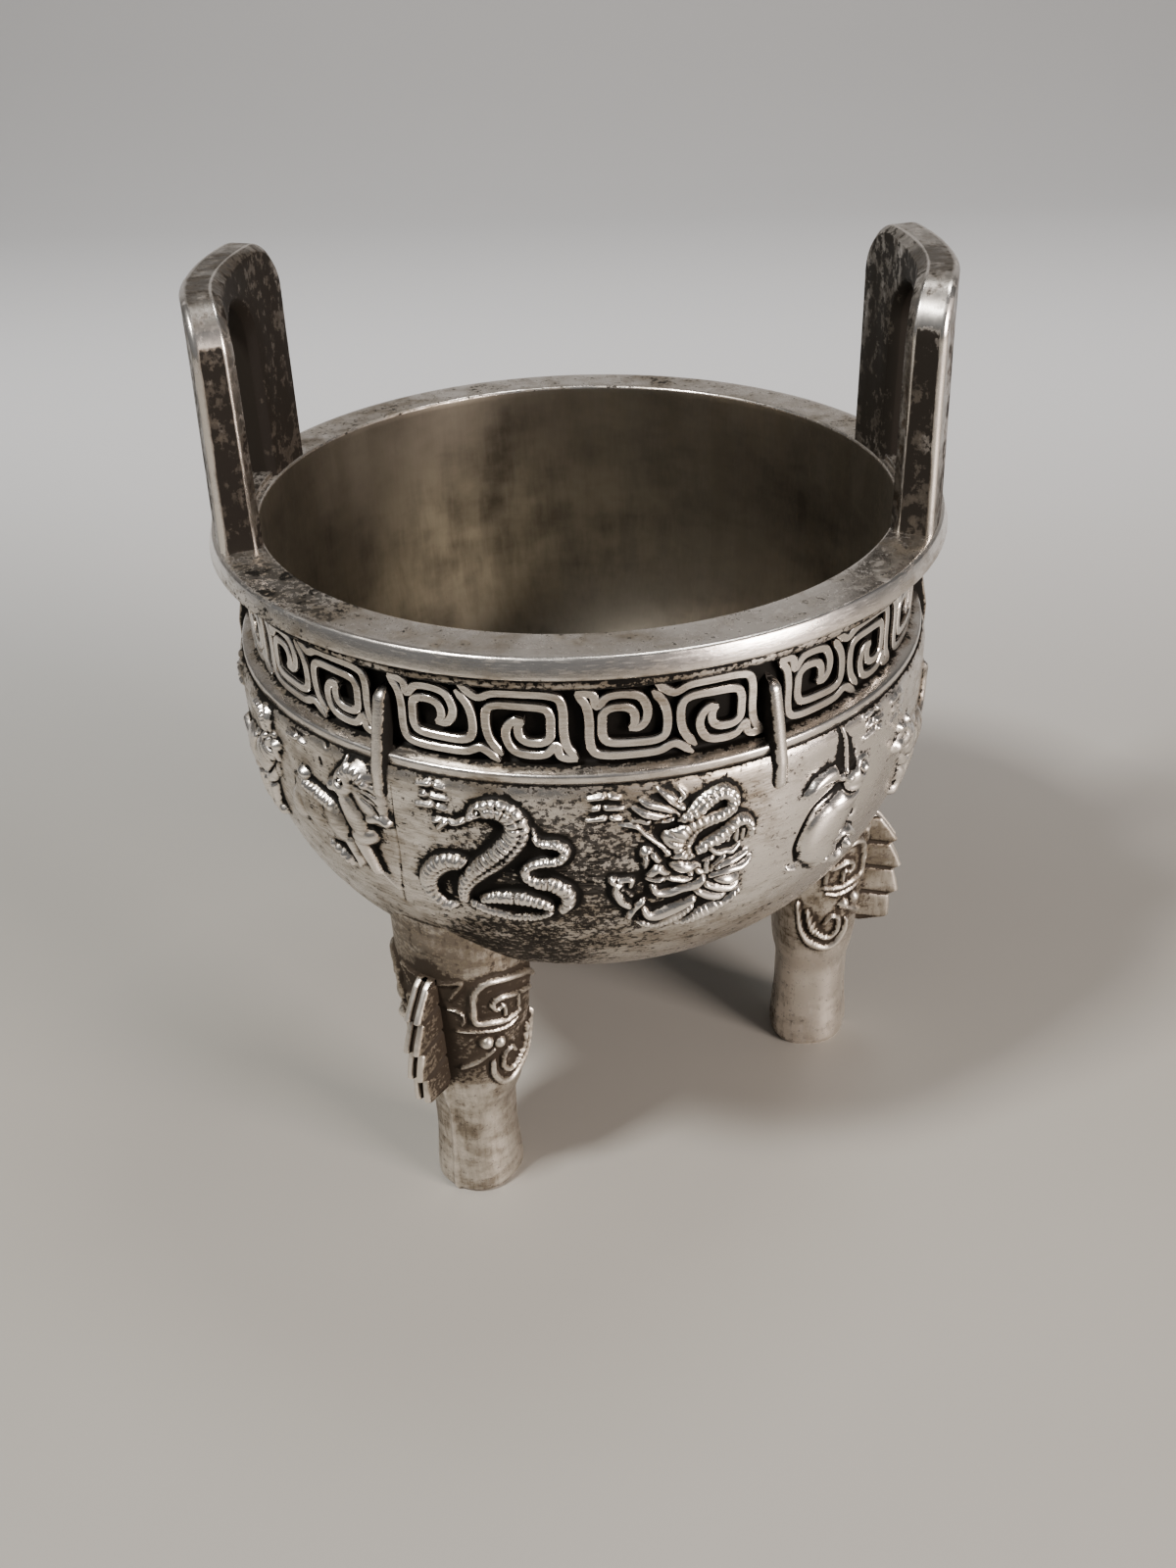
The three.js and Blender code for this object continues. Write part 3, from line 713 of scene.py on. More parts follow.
def realCopies(tree, points, source, rotation):
    # the source object copied to each point and made real
    make = nodeMaker(tree)
    info = make("GeometryNodeObjectInfo")
    tree.links.new(source, info.inputs["Object"])
    placed = make("GeometryNodeInstanceOnPoints")
    tree.links.new(points, placed.inputs["Points"])
    tree.links.new(info.outputs["Geometry"], placed.inputs["Instance"])
    tree.links.new(rotation, placed.inputs["Rotation"])
    real = make("GeometryNodeRealizeInstances")
    tree.links.new(placed.outputs[0], real.inputs[0])
    return real.outputs[0]


def coatedOutput(tree, geometry, metal):
    make = nodeMaker(tree)
    coated = make("GeometryNodeSetMaterial")
    tree.links.new(geometry, coated.inputs["Geometry"])
    tree.links.new(metal, coated.inputs["Material"])
    tree.links.new(coated.outputs[0], make("NodeGroupOutput").inputs[0])


def bakedPiece(name, tree, settings):
    # runs a tree on a carrier object and keeps the plain mesh
    carrier = bpy.data.objects.new(name + "_carrier", bpy.data.meshes.new(name + "_carrier"))
    bpy.context.scene.collection.objects.link(carrier)
    modifier = carrier.modifiers.new("build", "NODES")
    modifier.node_group = tree
    for identifier, value in settings.items():
        modifier[identifier] = value
    bpy.context.view_layer.update()
    evaluated = carrier.evaluated_get(bpy.context.evaluated_depsgraph_get())
    mesh = bpy.data.meshes.new_from_object(evaluated)
    mesh.name = name
    piece = bpy.data.objects.new(name, mesh)
    bpy.context.scene.collection.objects.link(piece)
    bpy.data.objects.remove(carrier)
    return piece


def keysRoundBand(key):
    tree, names = newTree("keys round the band", {
        "Key": "Object", "Metal": "Material", "Pairs in panel": "Int", "Panels": "Int", "Key width": "Float",
        "Band radius": "Float", "Band height": "Float"})
    make = nodeMaker(tree)
    calc = calculator(tree)
    join = tree.links.new
    given = make("NodeGroupInput").outputs
    pairs = calc("MULTIPLY", given["Panels"], given["Pairs in panel"])
    spots = make("GeometryNodePoints")
    join(calc("MULTIPLY", pairs, 2), spots.inputs["Count"])
    index = make("GeometryNodeInputIndex").outputs[0]
    turned = calc("MODULO", index, 2)
    pair = calc("FLOOR", calc("DIVIDE", index, 2))
    panel = calc("FLOOR", calc("DIVIDE", pair, given["Pairs in panel"]))
    inPanel = calc("SUBTRACT", pair, calc("MULTIPLY", panel, given["Pairs in panel"]))
    half = calc("DIVIDE", calc("SUBTRACT", given["Pairs in panel"], 1), 2)
    across = calc("MULTIPLY", calc("MULTIPLY", calc("SUBTRACT", inPanel, half), given["Key width"]), 2)
    girth = calc("MULTIPLY", given["Band radius"], 2 * math.pi)
    start = calc("MULTIPLY", calc("DIVIDE", calc("ADD", panel, 0.5), given["Panels"]), girth)
    where = make("ShaderNodeCombineXYZ")
    join(calc("ADD", start, across), where.inputs["X"])
    turn = make("ShaderNodeCombineXYZ")
    join(calc("MULTIPLY", turned, math.pi), turn.inputs["Z"])
    moved = make("GeometryNodeSetPosition")
    join(spots.outputs[0], moved.inputs["Geometry"])
    join(where.outputs[0], moved.inputs["Position"])
    real = realCopies(tree, moved.outputs[0], given["Key"], turn.outputs[0])
    spot = make("ShaderNodeSeparateXYZ")
    join(make("GeometryNodeInputPosition").outputs[0], spot.inputs[0])
    angle = calc("DIVIDE", spot.outputs["X"], given["Band radius"])
    radius = calc("ADD", given["Band radius"], spot.outputs["Z"])
    bent = make("ShaderNodeCombineXYZ")
    join(calc("MULTIPLY", calc("COSINE", angle), radius), bent.inputs["X"])
    join(calc("MULTIPLY", calc("SINE", angle), radius), bent.inputs["Y"])
    join(calc("ADD", given["Band height"], spot.outputs["Y"]), bent.inputs["Z"])
    wrapped = make("GeometryNodeSetPosition")
    join(real, wrapped.inputs["Geometry"])
    join(bent.outputs[0], wrapped.inputs["Position"])
    coatedOutput(tree, wrapped.outputs[0], given["Metal"])
    return bakedPiece("fret_band", tree, {
        names["Key"]: key, names["Metal"]: fretSilver, names["Pairs in panel"]: fret["pairsInPanel"],
        names["Panels"]: fret["panels"], names["Key width"]: keyWidth * millimetre,
        names["Band radius"]: neckRadius * millimetre,
        names["Band height"]: (bandTop + bandBottom) / 2 * millimetre})


key = makeKey()
rideCast(keysRoundBand(key))
bpy.data.objects.remove(key)
print("fret laid")


# Upright bars between the panels, one bar copied round the axis by Geometry Nodes

bar = {
    "count": 6,
    "top": rimHeight - 5.7,
    "length": 10.4,
    "halfWidth": 0.64,
    "crestTop": neckRadius + 1.25,
    "crestLow": bellyRadius + 0.6,
    "rooted": 1.6,
    "rows": 40,
}


def makeBar():
    share = np.linspace(0, 1, bar["rows"])
    height = bar["top"] - share * bar["length"]
    ends = np.clip(np.minimum(share, 1 - share) / 0.07, 0, 1) ** 0.5
    crest = bar["crestTop"] + (bar["crestLow"] - bar["crestTop"]) * np.clip(share * 1.4, 0, 1) ** 0.8
    crest -= (1 - ends) * 1.0
    half = bar["halfWidth"] * (0.25 + 0.75 * ends)
    section = [(-1.12, -bar["rooted"], 1.0), (-1.05, -0.45, 0.9), (-0.8, -0.12, 0.1), (-0.3, 0, -0.6),
               (0.3, 0, -0.6), (0.8, -0.12, 0.1), (1.05, -0.45, 0.9), (1.12, -bar["rooted"], 1.0)]
    rings = [np.stack([crest + inward, side * half, height], -1) for side, inward, _ in section]
    points = np.stack(rings, 1).reshape(-1, 3)
    dark = np.tile([dark for _, _, dark in section], len(height))
    return pieceFrom("bar", points, sweptFaces(len(height), len(section)), castSilver, dark, 45)


def copiesRoundAxis(name, source, count):
    tree, names = newTree("copies round the axis", {"Source": "Object", "Copies": "Int", "Metal": "Material"})
    make = nodeMaker(tree)
    calc = calculator(tree)
    given = make("NodeGroupInput").outputs
    spots = make("GeometryNodePoints")
    tree.links.new(given["Copies"], spots.inputs["Count"])
    turn = make("ShaderNodeCombineXYZ")
    step = calc("DIVIDE", 2 * math.pi, given["Copies"])
    tree.links.new(calc("MULTIPLY", make("GeometryNodeInputIndex").outputs[0], step), turn.inputs["Z"])
    coatedOutput(tree, realCopies(tree, spots.outputs[0], given["Source"], turn.outputs[0]), given["Metal"])
    return bakedPiece(name, tree, {names["Source"]: source, names["Copies"]: count,
                                   names["Metal"]: castSilver})


singleBar = makeBar()
rideCast(copiesRoundAxis("panel_bars", singleBar, bar["count"]))
bpy.data.objects.remove(singleBar)
print("bars set")


# Animals on the belly. Forms are in mm across and up from the figure's own middle, later ones on top.

belly = {
    "figureHeight": 48.0,
    "fineGrid": 0.1,
    "plainGrid": 0.2,
    "fineUntil": -30,  # tiles that end before this azimuth show well in the photo
    "softened": 0.6,  # share of the relief that is a softened copy, and its reach in grid steps
    "deepestCut": -0.5,
    "shoulder": 1.6,  # under the bead the tile sinks in over this height
    "shoulderDrop": 0.45,
    "shoulderPatina": 0.7,
    "tileDepth": 0.6,
    "markRise": 0.6,
    "seamDepth": 0.16,
    "mostRaised": vessel["rimFlareRadius"] - bellyRadius - 0.04,
}


def snake():
    return [
        limb([(-3.4, -3.9, .3), (-2.4, -4.7, .42), (-1, -5.3, .46), (1, -5.7, .48), (3, -5.6, .45),
              (4.4, -5, .4), (4.9, -4.4, .35)], .8, .42),
        limb([(4.9, -4.3, .35), (4, -3.8, .55), (2.2, -3.35, .68), (.4, -3.35, .66), (-.9, -3.6, .5),
              (-1.6, -3.9, .3)], .95, .46),
        limb([(3.5, 4.4, .2), (3.6, 3.6, .3), (4.2, 3.1, .38), (5.4, 3, .45), (6.2, 2.3, .48),
              (5.6, 1.3, .45),
              (4, 1, .4), (2.9, .4, .4), (2.7, -.5, .5), (3.6, -1.2, .62), (5, -1.5, .72), (6.1, -2.4, .75),
              (6.2, -3.6, .65), (5.7, -4.4, .5)], .95, .46),
        limb([(-1.6, -.9, .6), (-2.6, -.2, .75), (-3.8, .1, .82), (-5.3, -.6, .88), (-6.6, -2.3, .85),
              (-6.6, -4, .72), (-5.7, -5.2, .5), (-4.6, -5.5, .3)], 1, .52, .45),
        limb([(-5.3, 4.2, .2), (-4.4, 4.35, .24), (-3.2, 4.35, .24), (-2.0, 5.0, .24)], .9),
        limb([(-4.9, 3.5, .2), (-4.2, 4.2, .24)], .85),
        limb([(-2.0, 5.0, .3), (-1.4, 5.7, .62), (-.4, 6.15, .85), (.8, 6.15, .98), (1.9, 5.4, 1.02),
              (2.15, 4, 1.05),
              (1.4, 2.6, 1.05), (.1, 1.1, 1.05), (-1.4, -.3, .98), (-2.6, -1.7, .8), (-3.2, -3, .6),
              (-3.4, -4.2, .45)], 1.02, .52, .3),
        cut([(-2.2, 4.95, .1), (-1.4, 5.05, .12), (-.7, 5.5, .1)], .3),
        lobe(-1.15, 5.85, .17, .15, 0, 1.05),
    ]


def dragon():
    claws = [limb([(3.4, 2.7, .2), (3.3, 1.2, .13)], .7), limb([(4.1, 2.5, .2), (4.1, 1, .13)], .7),
             limb([(4.8, 2.4, .2), (4.7, 1.1, .12)], .7)]
    flames = [limb([(-4.6, 7.0, .12), (-3.8, 6.5, .38), (-2.3, 5.8, .42), (-1.5, 5.2, .3)], .8, .0, .2),
              limb([(-5.2, 6.3, .12), (-4.2, 5.7, .38), (-2.7, 5.0, .45), (-1.9, 4.9, .3)], .8, .0, .2),
              limb([(-3, 7.8, .15), (-2, 6.9, .38), (-1, 5.8, .3)], .8, .0, .2),
              limb([(-1.3, 7.7, .1), (-.8, 6.9, .22), (-1.2, 6.5, .2)], .6),
              limb([(-5.2, 4.9, .2), (-3.9, 4.7, .26)], .6), limb([(-3.4, 4.6, .16), (-1.9, 4.8, .2)], .5)]
    mane = [limb([(.5, -.9, .3), (1.2, -.5, .36), (1.9, -.1, .2)], .8),
            limb([(1.6, .9, .25), (2.3, .3, .3), (3.4, .1, .3), (4.4, .6, .14)], .75),
            limb([(1.4, -1.8, .4), (2.3, -1.1, .42), (2.9, -.3, .2)], .9),
            limb([(2.4, -1.4, .3), (3.3, -1, .38), (5.3, -.5, .14)], .85),
            limb([(1.8, -2.3, .3), (3.2, -1.9, .42), (4.6, -1.8, .36), (5.7, -1.3, .12)], .9),
            lobe(3.3, -3.1, 1.3, .62, -8, .95),
            limb([(1.1, -2.9, .3), (2.2, -3.7, .45), (3.7, -4.2, .4), (4.7, -3.9, .14)], .85),
            limb([(.3, -3.3, .3), (1.4, -4.3, .45), (2.6, -4.9, .4), (3.6, -4.9, .15)], .85)]
    head = [limb([(-3.5, 1.3, .3), (-2.9, .3, .34), (-2.1, -.3, .25)], .9),
            limb([(-3.9, -1, .3), (-3.2, -.1, .4), (-2.4, -.8, .4), (-1.9, -1.4, .3)], .95),
            limb([(.2, -.2, .25), (-1.0, -1.0, .1)], .5),
            lobe(-.7, -.45, 1.45, .62, -22, 1.04),
            limb([(.2, -1.2, .3), (1.1, -1.6, .34), (1.3, -.6, .2)], .85),
            limb([(-4.1, -1.3, .14), (-3.2, -1.4, .3), (-1.9, -1.5, .3), (-.7, -1.9, .34), (.6, -2.5, .38)],
                 .95),
            limb([(-3.5, -2.2, .3), (-3.2, -2.9, .36), (-2.1, -3.1, .42), (-.9, -2.8, .42), (.3, -2.7, .5),
                  (.9, -2.2, .4)], .95),
            limb([(-2.5, -1.8, .15), (-2.6, -2.1, .1)], .7),
            lobe(-.25, -1.25, .3, .22, -20, 1.03)]
    return [
        limb([(-4.3, -5.0, .2), (-3.7, -5.9, .5), (-2.3, -6.0, .75), (-.6, -5.1, .6), (.3, -4.5, .4)], .85),
        limb([(-1.2, -7.4, .35), (.5, -7.1, .7), (2.4, -6.4, .72), (3.8, -5.6, .5), (4.7, -4.8, .28)],
             .95, .42),
        limb([(-4.6, -7.0, .25), (-2.9, -7.3, .45), (-1.2, -6.7, .5), (.2, -5.8, .3)], .8, .4),
        limb([(-5.6, -5.9, .26), (-5.2, -4.8, .34), (-4.4, -4.0, .26)], .85),
        limb([(-7.0, -1.2, .4), (-6.5, -1.6, .42), (-6.6, -2.7, .46), (-6.3, -3.7, .36), (-5.6, -4.5, .26)],
             .85),
        limb([(-6.4, -1.2, .25), (-5.4, -1.3, .26), (-5.5, -2.1, .2)], .7),
        limb([(-6.2, -2.2, .16), (-5.4, -3.3, .2)], .5),
        *claws,
        limb([(.1, 1.1, .5), (1.2, 1.5, .66), (2.6, 2.2, .66), (3.9, 3.2, .6), (4.9, 3.1, .45),
              (5.4, 2.2, .34), (5.4, 1.2, .24)], .95, .5),
        limb([(-.3, .3, .5), (-1.2, 1.2, 1.1), (-1.4, 2.4, 1.4), (-.5, 3.6, 1.15), (.9, 4.1, .7),
              (2.4, 4.3, .6),
              (3.4, 4.9, .6), (3.5, 5.9, .6), (2.6, 6.6, .68), (1.2, 6.1, .72), (.1, 5.2, .66),
              (-1.2, 4.9, .5), (-2.2, 5.4, .3)], 1.02, .46, -.35),
        *flames,
        limb([(-6.4, 4.7, .1), (-4.9, 4.4, .2), (-4.2, 3.5, .16), (-3.0, 2.3, .2), (-2.3, 1.4, .24),
              (-2.6, .9, .14)], .85),
        lobe(-4.0, 1.45, .62, .75, 20, .95), limb([(-4.1, 1.0, .34), (-4.2, -.1, .16)], .7),
        *mane, *head,
    ]


def rabbit():
    return [
        limb([(-2.8, 3.2, .2), (-1.7, 4.0, .55), (-.1, 4.3, .75), (1.4, 4.0, .8), (2.5, 3.1, .7)], .9),
        limb([(3.6, 1.7, 1.0), (2.0, .0, 1.8), (.6, -1.8, 2.5), (.3, -3.4, 2.4), (.9, -4.9, 1.7)], .95),
        limb([(1.2, -5.8, .5), (2.8, -6.6, .55), (4.3, -6.3, .45)], .85),
        limb([(1.9, -3.6, .25), (2.7, -3.2, .4), (3.6, -3.4, .5), (4.6, -4.2, .45)], 1.0),
        lobe(4.8, -5.8, .55, .45, 20, .9),
        lobe(2.1, .6, 2.2, 1.2, 12, 1.05, False),
        cut([(3.6, -2.4, .3), (4.6, -2.2, .35)], .7),
        lobe(3.9, 2.9, 1.8, 1.3, 24, 1.05),
        cut([(1.6, 8.3, .12), (1.5, 7.2, .34), (1.45, 5.8, .5), (1.5, 4.4, .54)], 1.5),
        cut([(2.1, 7.7, .12), (2.6, 6.6, .36), (2.95, 5.2, .5), (3.1, 4.2, .5)], 1.5),
        limb([(1.6, 9.2, .2), (1.75, 8.2, .2), (2.1, 6.4, .2), (2.25, 4.8, .22), (2.3, 3.7, .26)], .6),
        lobe(4.6, 3.3, .55, .5, 0, 1.07),
        limb([(-3.7, -4.9, .22), (-2.7, -5.2, .3)], .7),
        cut([(-2.6, -4.4, .14), (-3.0, -2.2, .18), (-1.7, .8, .18), (.1, 1.9, .18), (2.0, 2.7, .16)], .5),
    ]


def horse():
    locks = [cut([(1.5 + .3 * k, 6.4 - .5 * k, .09), (2.6 + .3 * k, 6.5 - .75 * k, .13),
                  (3.7 + .12 * k, 6.3 - 1.0 * k, .09)], .4) for k in range(4)]
    body = [
        lobe(-5.6, 4.2, .8, .5, -20, .8),
        lobe(-7.2, .2, 1.3, 2.0, -20, .8),
        lobe(-4.0, .8, 3.6, 2.3, -28, .85),
        limb([(-5.6, 3.2, .5), (-4.3, 2.9, .66), (-3.0, 2.6, .66), (-1.9, 2.3, .55)], .98, .4),
        lobe(-4.4, .4, 2.4, 1.5, -34, 1.0),
        limb([(-3.2, -2.3, .4), (-2.4, -3.0, .45), (-1.5, -3.7, .4), (-1.1, -4.4, .2)], .85, .6),
        limb([(.0, -.9, .7), (.4, -2.0, .52), (.7, -2.9, .42), (.5, -3.5, .36)], .95),
        limb([(1.3, -.3, .75), (1.8, -1.6, .58), (2.3, -2.8, .44), (2.5, -3.7, .36)], 1.0),
        cut([(1.4, -3.2, .2), (2.6, -4.2, .24), (3.7, -5.6, .16)], .6),
        limb([(2.6, -3.5, .22), (3.4, -4.6, .22), (4.2, -5.6, .16)], .6),
        lobe(-1.4, .6, 2.4, 1.35, -60, 1.05),
        limb([(2.9, 2.6, .5), (3.9, 3.0, .6), (4.7, 2.7, .45)], .9),
        lobe(2.6, 5.0, 3.1, 1.7, -66, .85),
        *locks,
        limb([(1.5, 5.9, .2), (2.1, 5.0, .26), (2.5, 4.0, .26), (2.9, 3.1, .16)], .98),
        limb([(.1, 4.3, .8), (.7, 3.1, 1.15), (1.3, 1.8, 1.2), (1.7, 1.0, .8)], 1.02),
        lobe(1.7, .35, 1.5, 1.0, 12, 1.06),
        lobe(-1.2, 4.75, .8, .65, 30, .95),
    ]
    head = [
        limb([(.6, 7.1, .34), (.7, 8.2, .16)], .95),
        limb([(.0, 6.3, .5), (.9, 6.9, .75), (1.9, 6.9, .75), (2.8, 6.2, .5)], 1.08, .42),
        lobe(.3, 5.5, 2.0, 1.25, 54, 1.05),
    ]
    return [{**form, "parted": False} for form in body + head] + [
        cut([(-1.6, 4.1, .1), (-.7, 4.0, .14), (-.1, 4.1, .1)], .35),
        lobe(.0, 5.7, .24, .2, 0, 1.1),
        cut([(-2.6, 9.2, .16), (-2.2, 8.1, .2)], .6), cut([(-1.6, 8.5, .14), (-.6, 9.1, .22)], .6),
        cut([(-3.2, 6.5, .14), (-3.1, 5.9, .16)], .4),
        cut([(5.3, 6.5, .12), (5.3, 2.0, .12), (5.1, -1.5, .12), (3.9, -7.5, .12)], belly["seamDepth"]),
    ]


def fourLegged(length, depth, headAt, headHalf, foot, tail, legWidth=.55):
    front = -length * .55
    back = length * .6
    limbs = []
    for start, step in ((front + 1, 1.5), (back - .6, 1.3), (front, -.4), (back, -1.0)):
        knee = (start + step * .5, foot * .5)
        limbs.append(limb([(start, -depth * .3, legWidth * 1.5), (*knee, legWidth),
                           (start + step * .3, foot + .6,
                          legWidth * .7), (start + step * .3 - .5, foot, legWidth * .8)], .85))
    return [
        *limbs[:2],
        lobe(0, 0, length, depth, -4, .9),
        *limbs[2:],
        lobe(back * .85, -.1, depth * 1.05, depth * .85, 60, 1.0),
        lobe(front * .9, .1, depth * 1.0, depth * .75, 70, 1.0),
        limb([(front * .7, depth * .3, depth * .75), ((front + headAt[0]) / 2, (headAt[1] + depth * .3) / 2,
             depth * .66), (*headAt, headHalf[1])], .98, .5),
        lobe(*headAt, *headHalf, 25, 1.02),
        lobe(headAt[0] - headHalf[0] * .9, headAt[1] - headHalf[0] * .35, headHalf[1] * .62,
             headHalf[1] * .55, 0, .95),
        lobe(headAt[0] - .2, headAt[1] + .35, .22, .2, 0, 1.04),
        limb([(back + depth * .5, .4, .4), *tail], .8),
    ]


def facingRight(forms, lift):
    flipped = []
    for form in forms:
        if form["kind"] == "lobe":
            across, up = form["middle"]
            flipped.append({**form, "middle": (-across, up + lift), "tilt": -form["tilt"]})
        else:
            flipped.append({**form, "points": [(-across, up + lift, half) for across, up,
                                               half in form["points"]]})
    return flipped


def goat():
    return facingRight(fourLegged(3.3, 1.8, (-3.6, 3.6), (1.3, .85), -5.4,
                                  [(4.6, 1.4, .4), (4.9, .2, .2)]) + [
        limb([(-3.2, 4.3, .34), (-2.4, 5.9, .36), (-.8, 6.0, .26), (-.2, 5.0, .14)], .95, .4),
        limb([(-3.7, 4.4, .3), (-3.6, 5.8, .3), (-2.3, 6.8, .2), (-1.0, 6.7, .12)], .85, .4),
        limb([(-4.4, 2.6, .25), (-4.6, 1.4, .14)], .8),
        limb([(-2.9, 3.4, .26), (-2.2, 2.8, .16)], .8),
    ], 1.8)


def tiger():
    stripes = [cut([(x, 1.4, .1), (x + .3, -.6, .13), (x - .1, -1.4, .08)], .3)
               for x in (-1.4, -.4, .6, 1.6, 2.6)]
    return fourLegged(3.6, 1.9, (-3.9, 2.3), (1.5, 1.3), -4.8,
                      [(5.0, 1.4, .38), (5.9, 3.6, .34), (5.0, 5.2, .36)], .7) + stripes + [
        lobe(-4.9, 3.6, .45, .4, 0, .9), lobe(-3.1, 3.7, .45, .4, 0, .9),
        cut([(-5.2, 1.4, .12), (-4.3, 1.2, .14), (-3.6, 1.5, .1)], .4),
    ]


def ox():
    return fourLegged(3.9, 2.2, (-4.1, 1.2), (1.5, 1.0), -5.0, [(5.2, .2, .22), (5.3, -2.4, .3)], .62) + [
        limb([(-4.0, 2.0, .4), (-5.4, 2.9, .36), (-5.6, 4.3, .2), (-4.8, 5.2, .1)], .95, .45),
        limb([(-3.3, 2.1, .4), (-2.2, 3.3, .34), (-2.7, 4.7, .2), (-3.6, 5.2, .1)], .9, .45),
        lobe(-1.6, 2.3, 1.2, .8, 10, .95),
    ]


def rat():
    return [
        limb([(3.2, -2.6, .3), (5.6, -1.6, .28), (6.3, .8, .24), (5.3, 3.0, .2), (5.9, 4.6, .12)], .75, .4),
        lobe(.6, -1.6, 3.4, 2.2, -12, .98),
        lobe(2.0, -2.0, 1.9, 1.5, 20, 1.02),
        limb([(2.4, -3.3, .6), (1.0, -4.6, .4), (.1, -4.7, .3)], .9),
        limb([(-1.8, -2.6, .5), (-2.6, -3.9, .34), (-3.3, -4.2, .28)], .9),
        lobe(-2.9, .1, 1.9, 1.2, 22, 1.03),
        lobe(-1.9, 1.5, .85, .8, 0, .95), cut([(-1.9, 1.4, .4), (-1.9, 1.7, .4)], .5),
        lobe(-2.9, 1.4, .6, .6, 0, .85), lobe(-3.4, .4, .22, .22, 0, 1.04),
        limb([(-4.3, -.3, .1), (-5.4, .3, .08)], .4), limb([(-4.3, -.5, .1), (-5.5, -.5, .08)], .4),
    ]


def pig():
    return fourLegged(4.0, 2.5, (-3.9, .2), (1.7, 1.5), -4.6,
                      [(5.2, .9, .2), (5.4, 1.9, .18), (4.8, 1.6, .14)], .7) + [
        lobe(-5.5, -.5, .6, .62, 0, 1.03), cut([(-5.6, -.4, .1), (-5.6, -.6, .1)], .5),
        lobe(-3.2, 1.9, 1.0, .6, -50, 1.0),
    ]


def dog():
    return fourLegged(3.3, 1.6, (-3.5, 3.2), (1.6, .95), -5.4,
                      [(4.6, 2.0, .36), (4.2, 3.6, .3), (3.2, 3.4, .16)]) + [
        lobe(-2.6, 3.3, .95, .45, -70, 1.02),
        limb([(-3.4, 1.6, .2), (-2.4, .9, .24), (-1.4, 1.2, .2)], .95),
    ]


def rooster():
    plumes = [limb([(1.6, .6, .42), (3.6, 3.4 - k, .46), (5.6, 3.4 - 2.1 * k, .36),
                    (6.3, 1.0 - 2.3 * k, .14)], .8, .5)
              for k in (0, .7, 1.4)]
    return plumes + [
        limb([(-.6, -3.0, .3), (-1.2, -5.6, .24), (-2.2, -6.0, .16)], .8),
        limb([(.8, -3.0, .3), (.9, -5.6, .24), (.1, -6.1, .16)], .8),
        lobe(-.3, -1.0, 2.8, 2.1, 25, .98),
        limb([(-1.6, .4, 1.1), (-2.6, 2.6, .9), (-2.8, 4.0, .75)], 1.0, .42),
        limb([(-.9, -.2, .9), (.9, -.6, .8), (2.6, -.2, .3)], 1.03, .5),
        lobe(-2.9, 4.3, .95, .85, 0, 1.03),
        *[lobe(-3.4 + .55 * k, 5.4, .3, .5, 0, .9) for k in (0, 1, 2)],
        limb([(-3.8, 4.3, .24), (-4.6, 4.0, .1)], .8), lobe(-3.5, 3.1, .3, .5, 0, .9),
        lobe(-3.1, 4.5, .2, .2, 0, 1.04),
    ]


def monkey():
    return [
        limb([(2.2, -2.4, .3), (4.4, -2.6, .3), (5.4, -.6, .28), (4.6, 1.6, .26), (5.2, 3.2, .18)], .8, .45),
        lobe(.4, -1.2, 2.0, 2.6, 0, .95),
        limb([(1.0, -3.0, .8), (2.4, -4.2, .6), (1.6, -5.6, .4), (.4, -5.8, .3)], .92),
        limb([(-.8, -2.9, .8), (-3.0, -2.6, .62), (-3.2, -4.6, .4), (-4.2, -5.2, .3)], 1.0),
        limb([(1.4, .4, .6), (2.9, -.8, .44), (1.8, -2.0, .34)], .95),
        limb([(-.9, .8, .62), (-3.2, .2, .46), (-3.6, 2.2, .36), (-2.9, 3.0, .34)], 1.0),
        lobe(-.4, 3.2, 1.8, 1.7, 0, 1.0), lobe(1.5, 3.4, .6, .7, 0, .9), lobe(-2.2, 3.6, .5, .6, 0, .85),
        lobe(-.8, 2.7, 1.0, .85, 0, 1.04), cut([(-1.4, 2.4, .1), (-.8, 2.2, .12), (-.2, 2.4, .1)], .4),
        lobe(-1.1, 3.5, .2, .2, 0, 1.04), lobe(-.3, 3.5, .2, .2, 0, 1.04),
    ]


def bolder(form, factor):
    if form["kind"] == "lobe":
        return {**form, "half": tuple(size * factor for size in form["half"])}
    if form["kind"] == "cut":
        return form
    return {**form, "points": [(x, y, half * factor) for x, y, half in form["points"]]}


def mark(across, up):
    # a small generic mark: rows of short shallow strokes
    rise = belly["markRise"]
    forms = []
    for row, (left, part, right) in enumerate(((-1.3, .2, 1.2), (-1.0, -.2, 1.5), (-1.5, .3, 1.3))):
        y = up + 1.1 - row * 1.05
        forms.append(limb([(across + left, y - .1, .2), (across + part - .35, y + .08, .3)], rise))
        forms.append(limb([(across + part + .35, y + .05, .3), (across + right, y - .12, .2)], rise))
    return forms


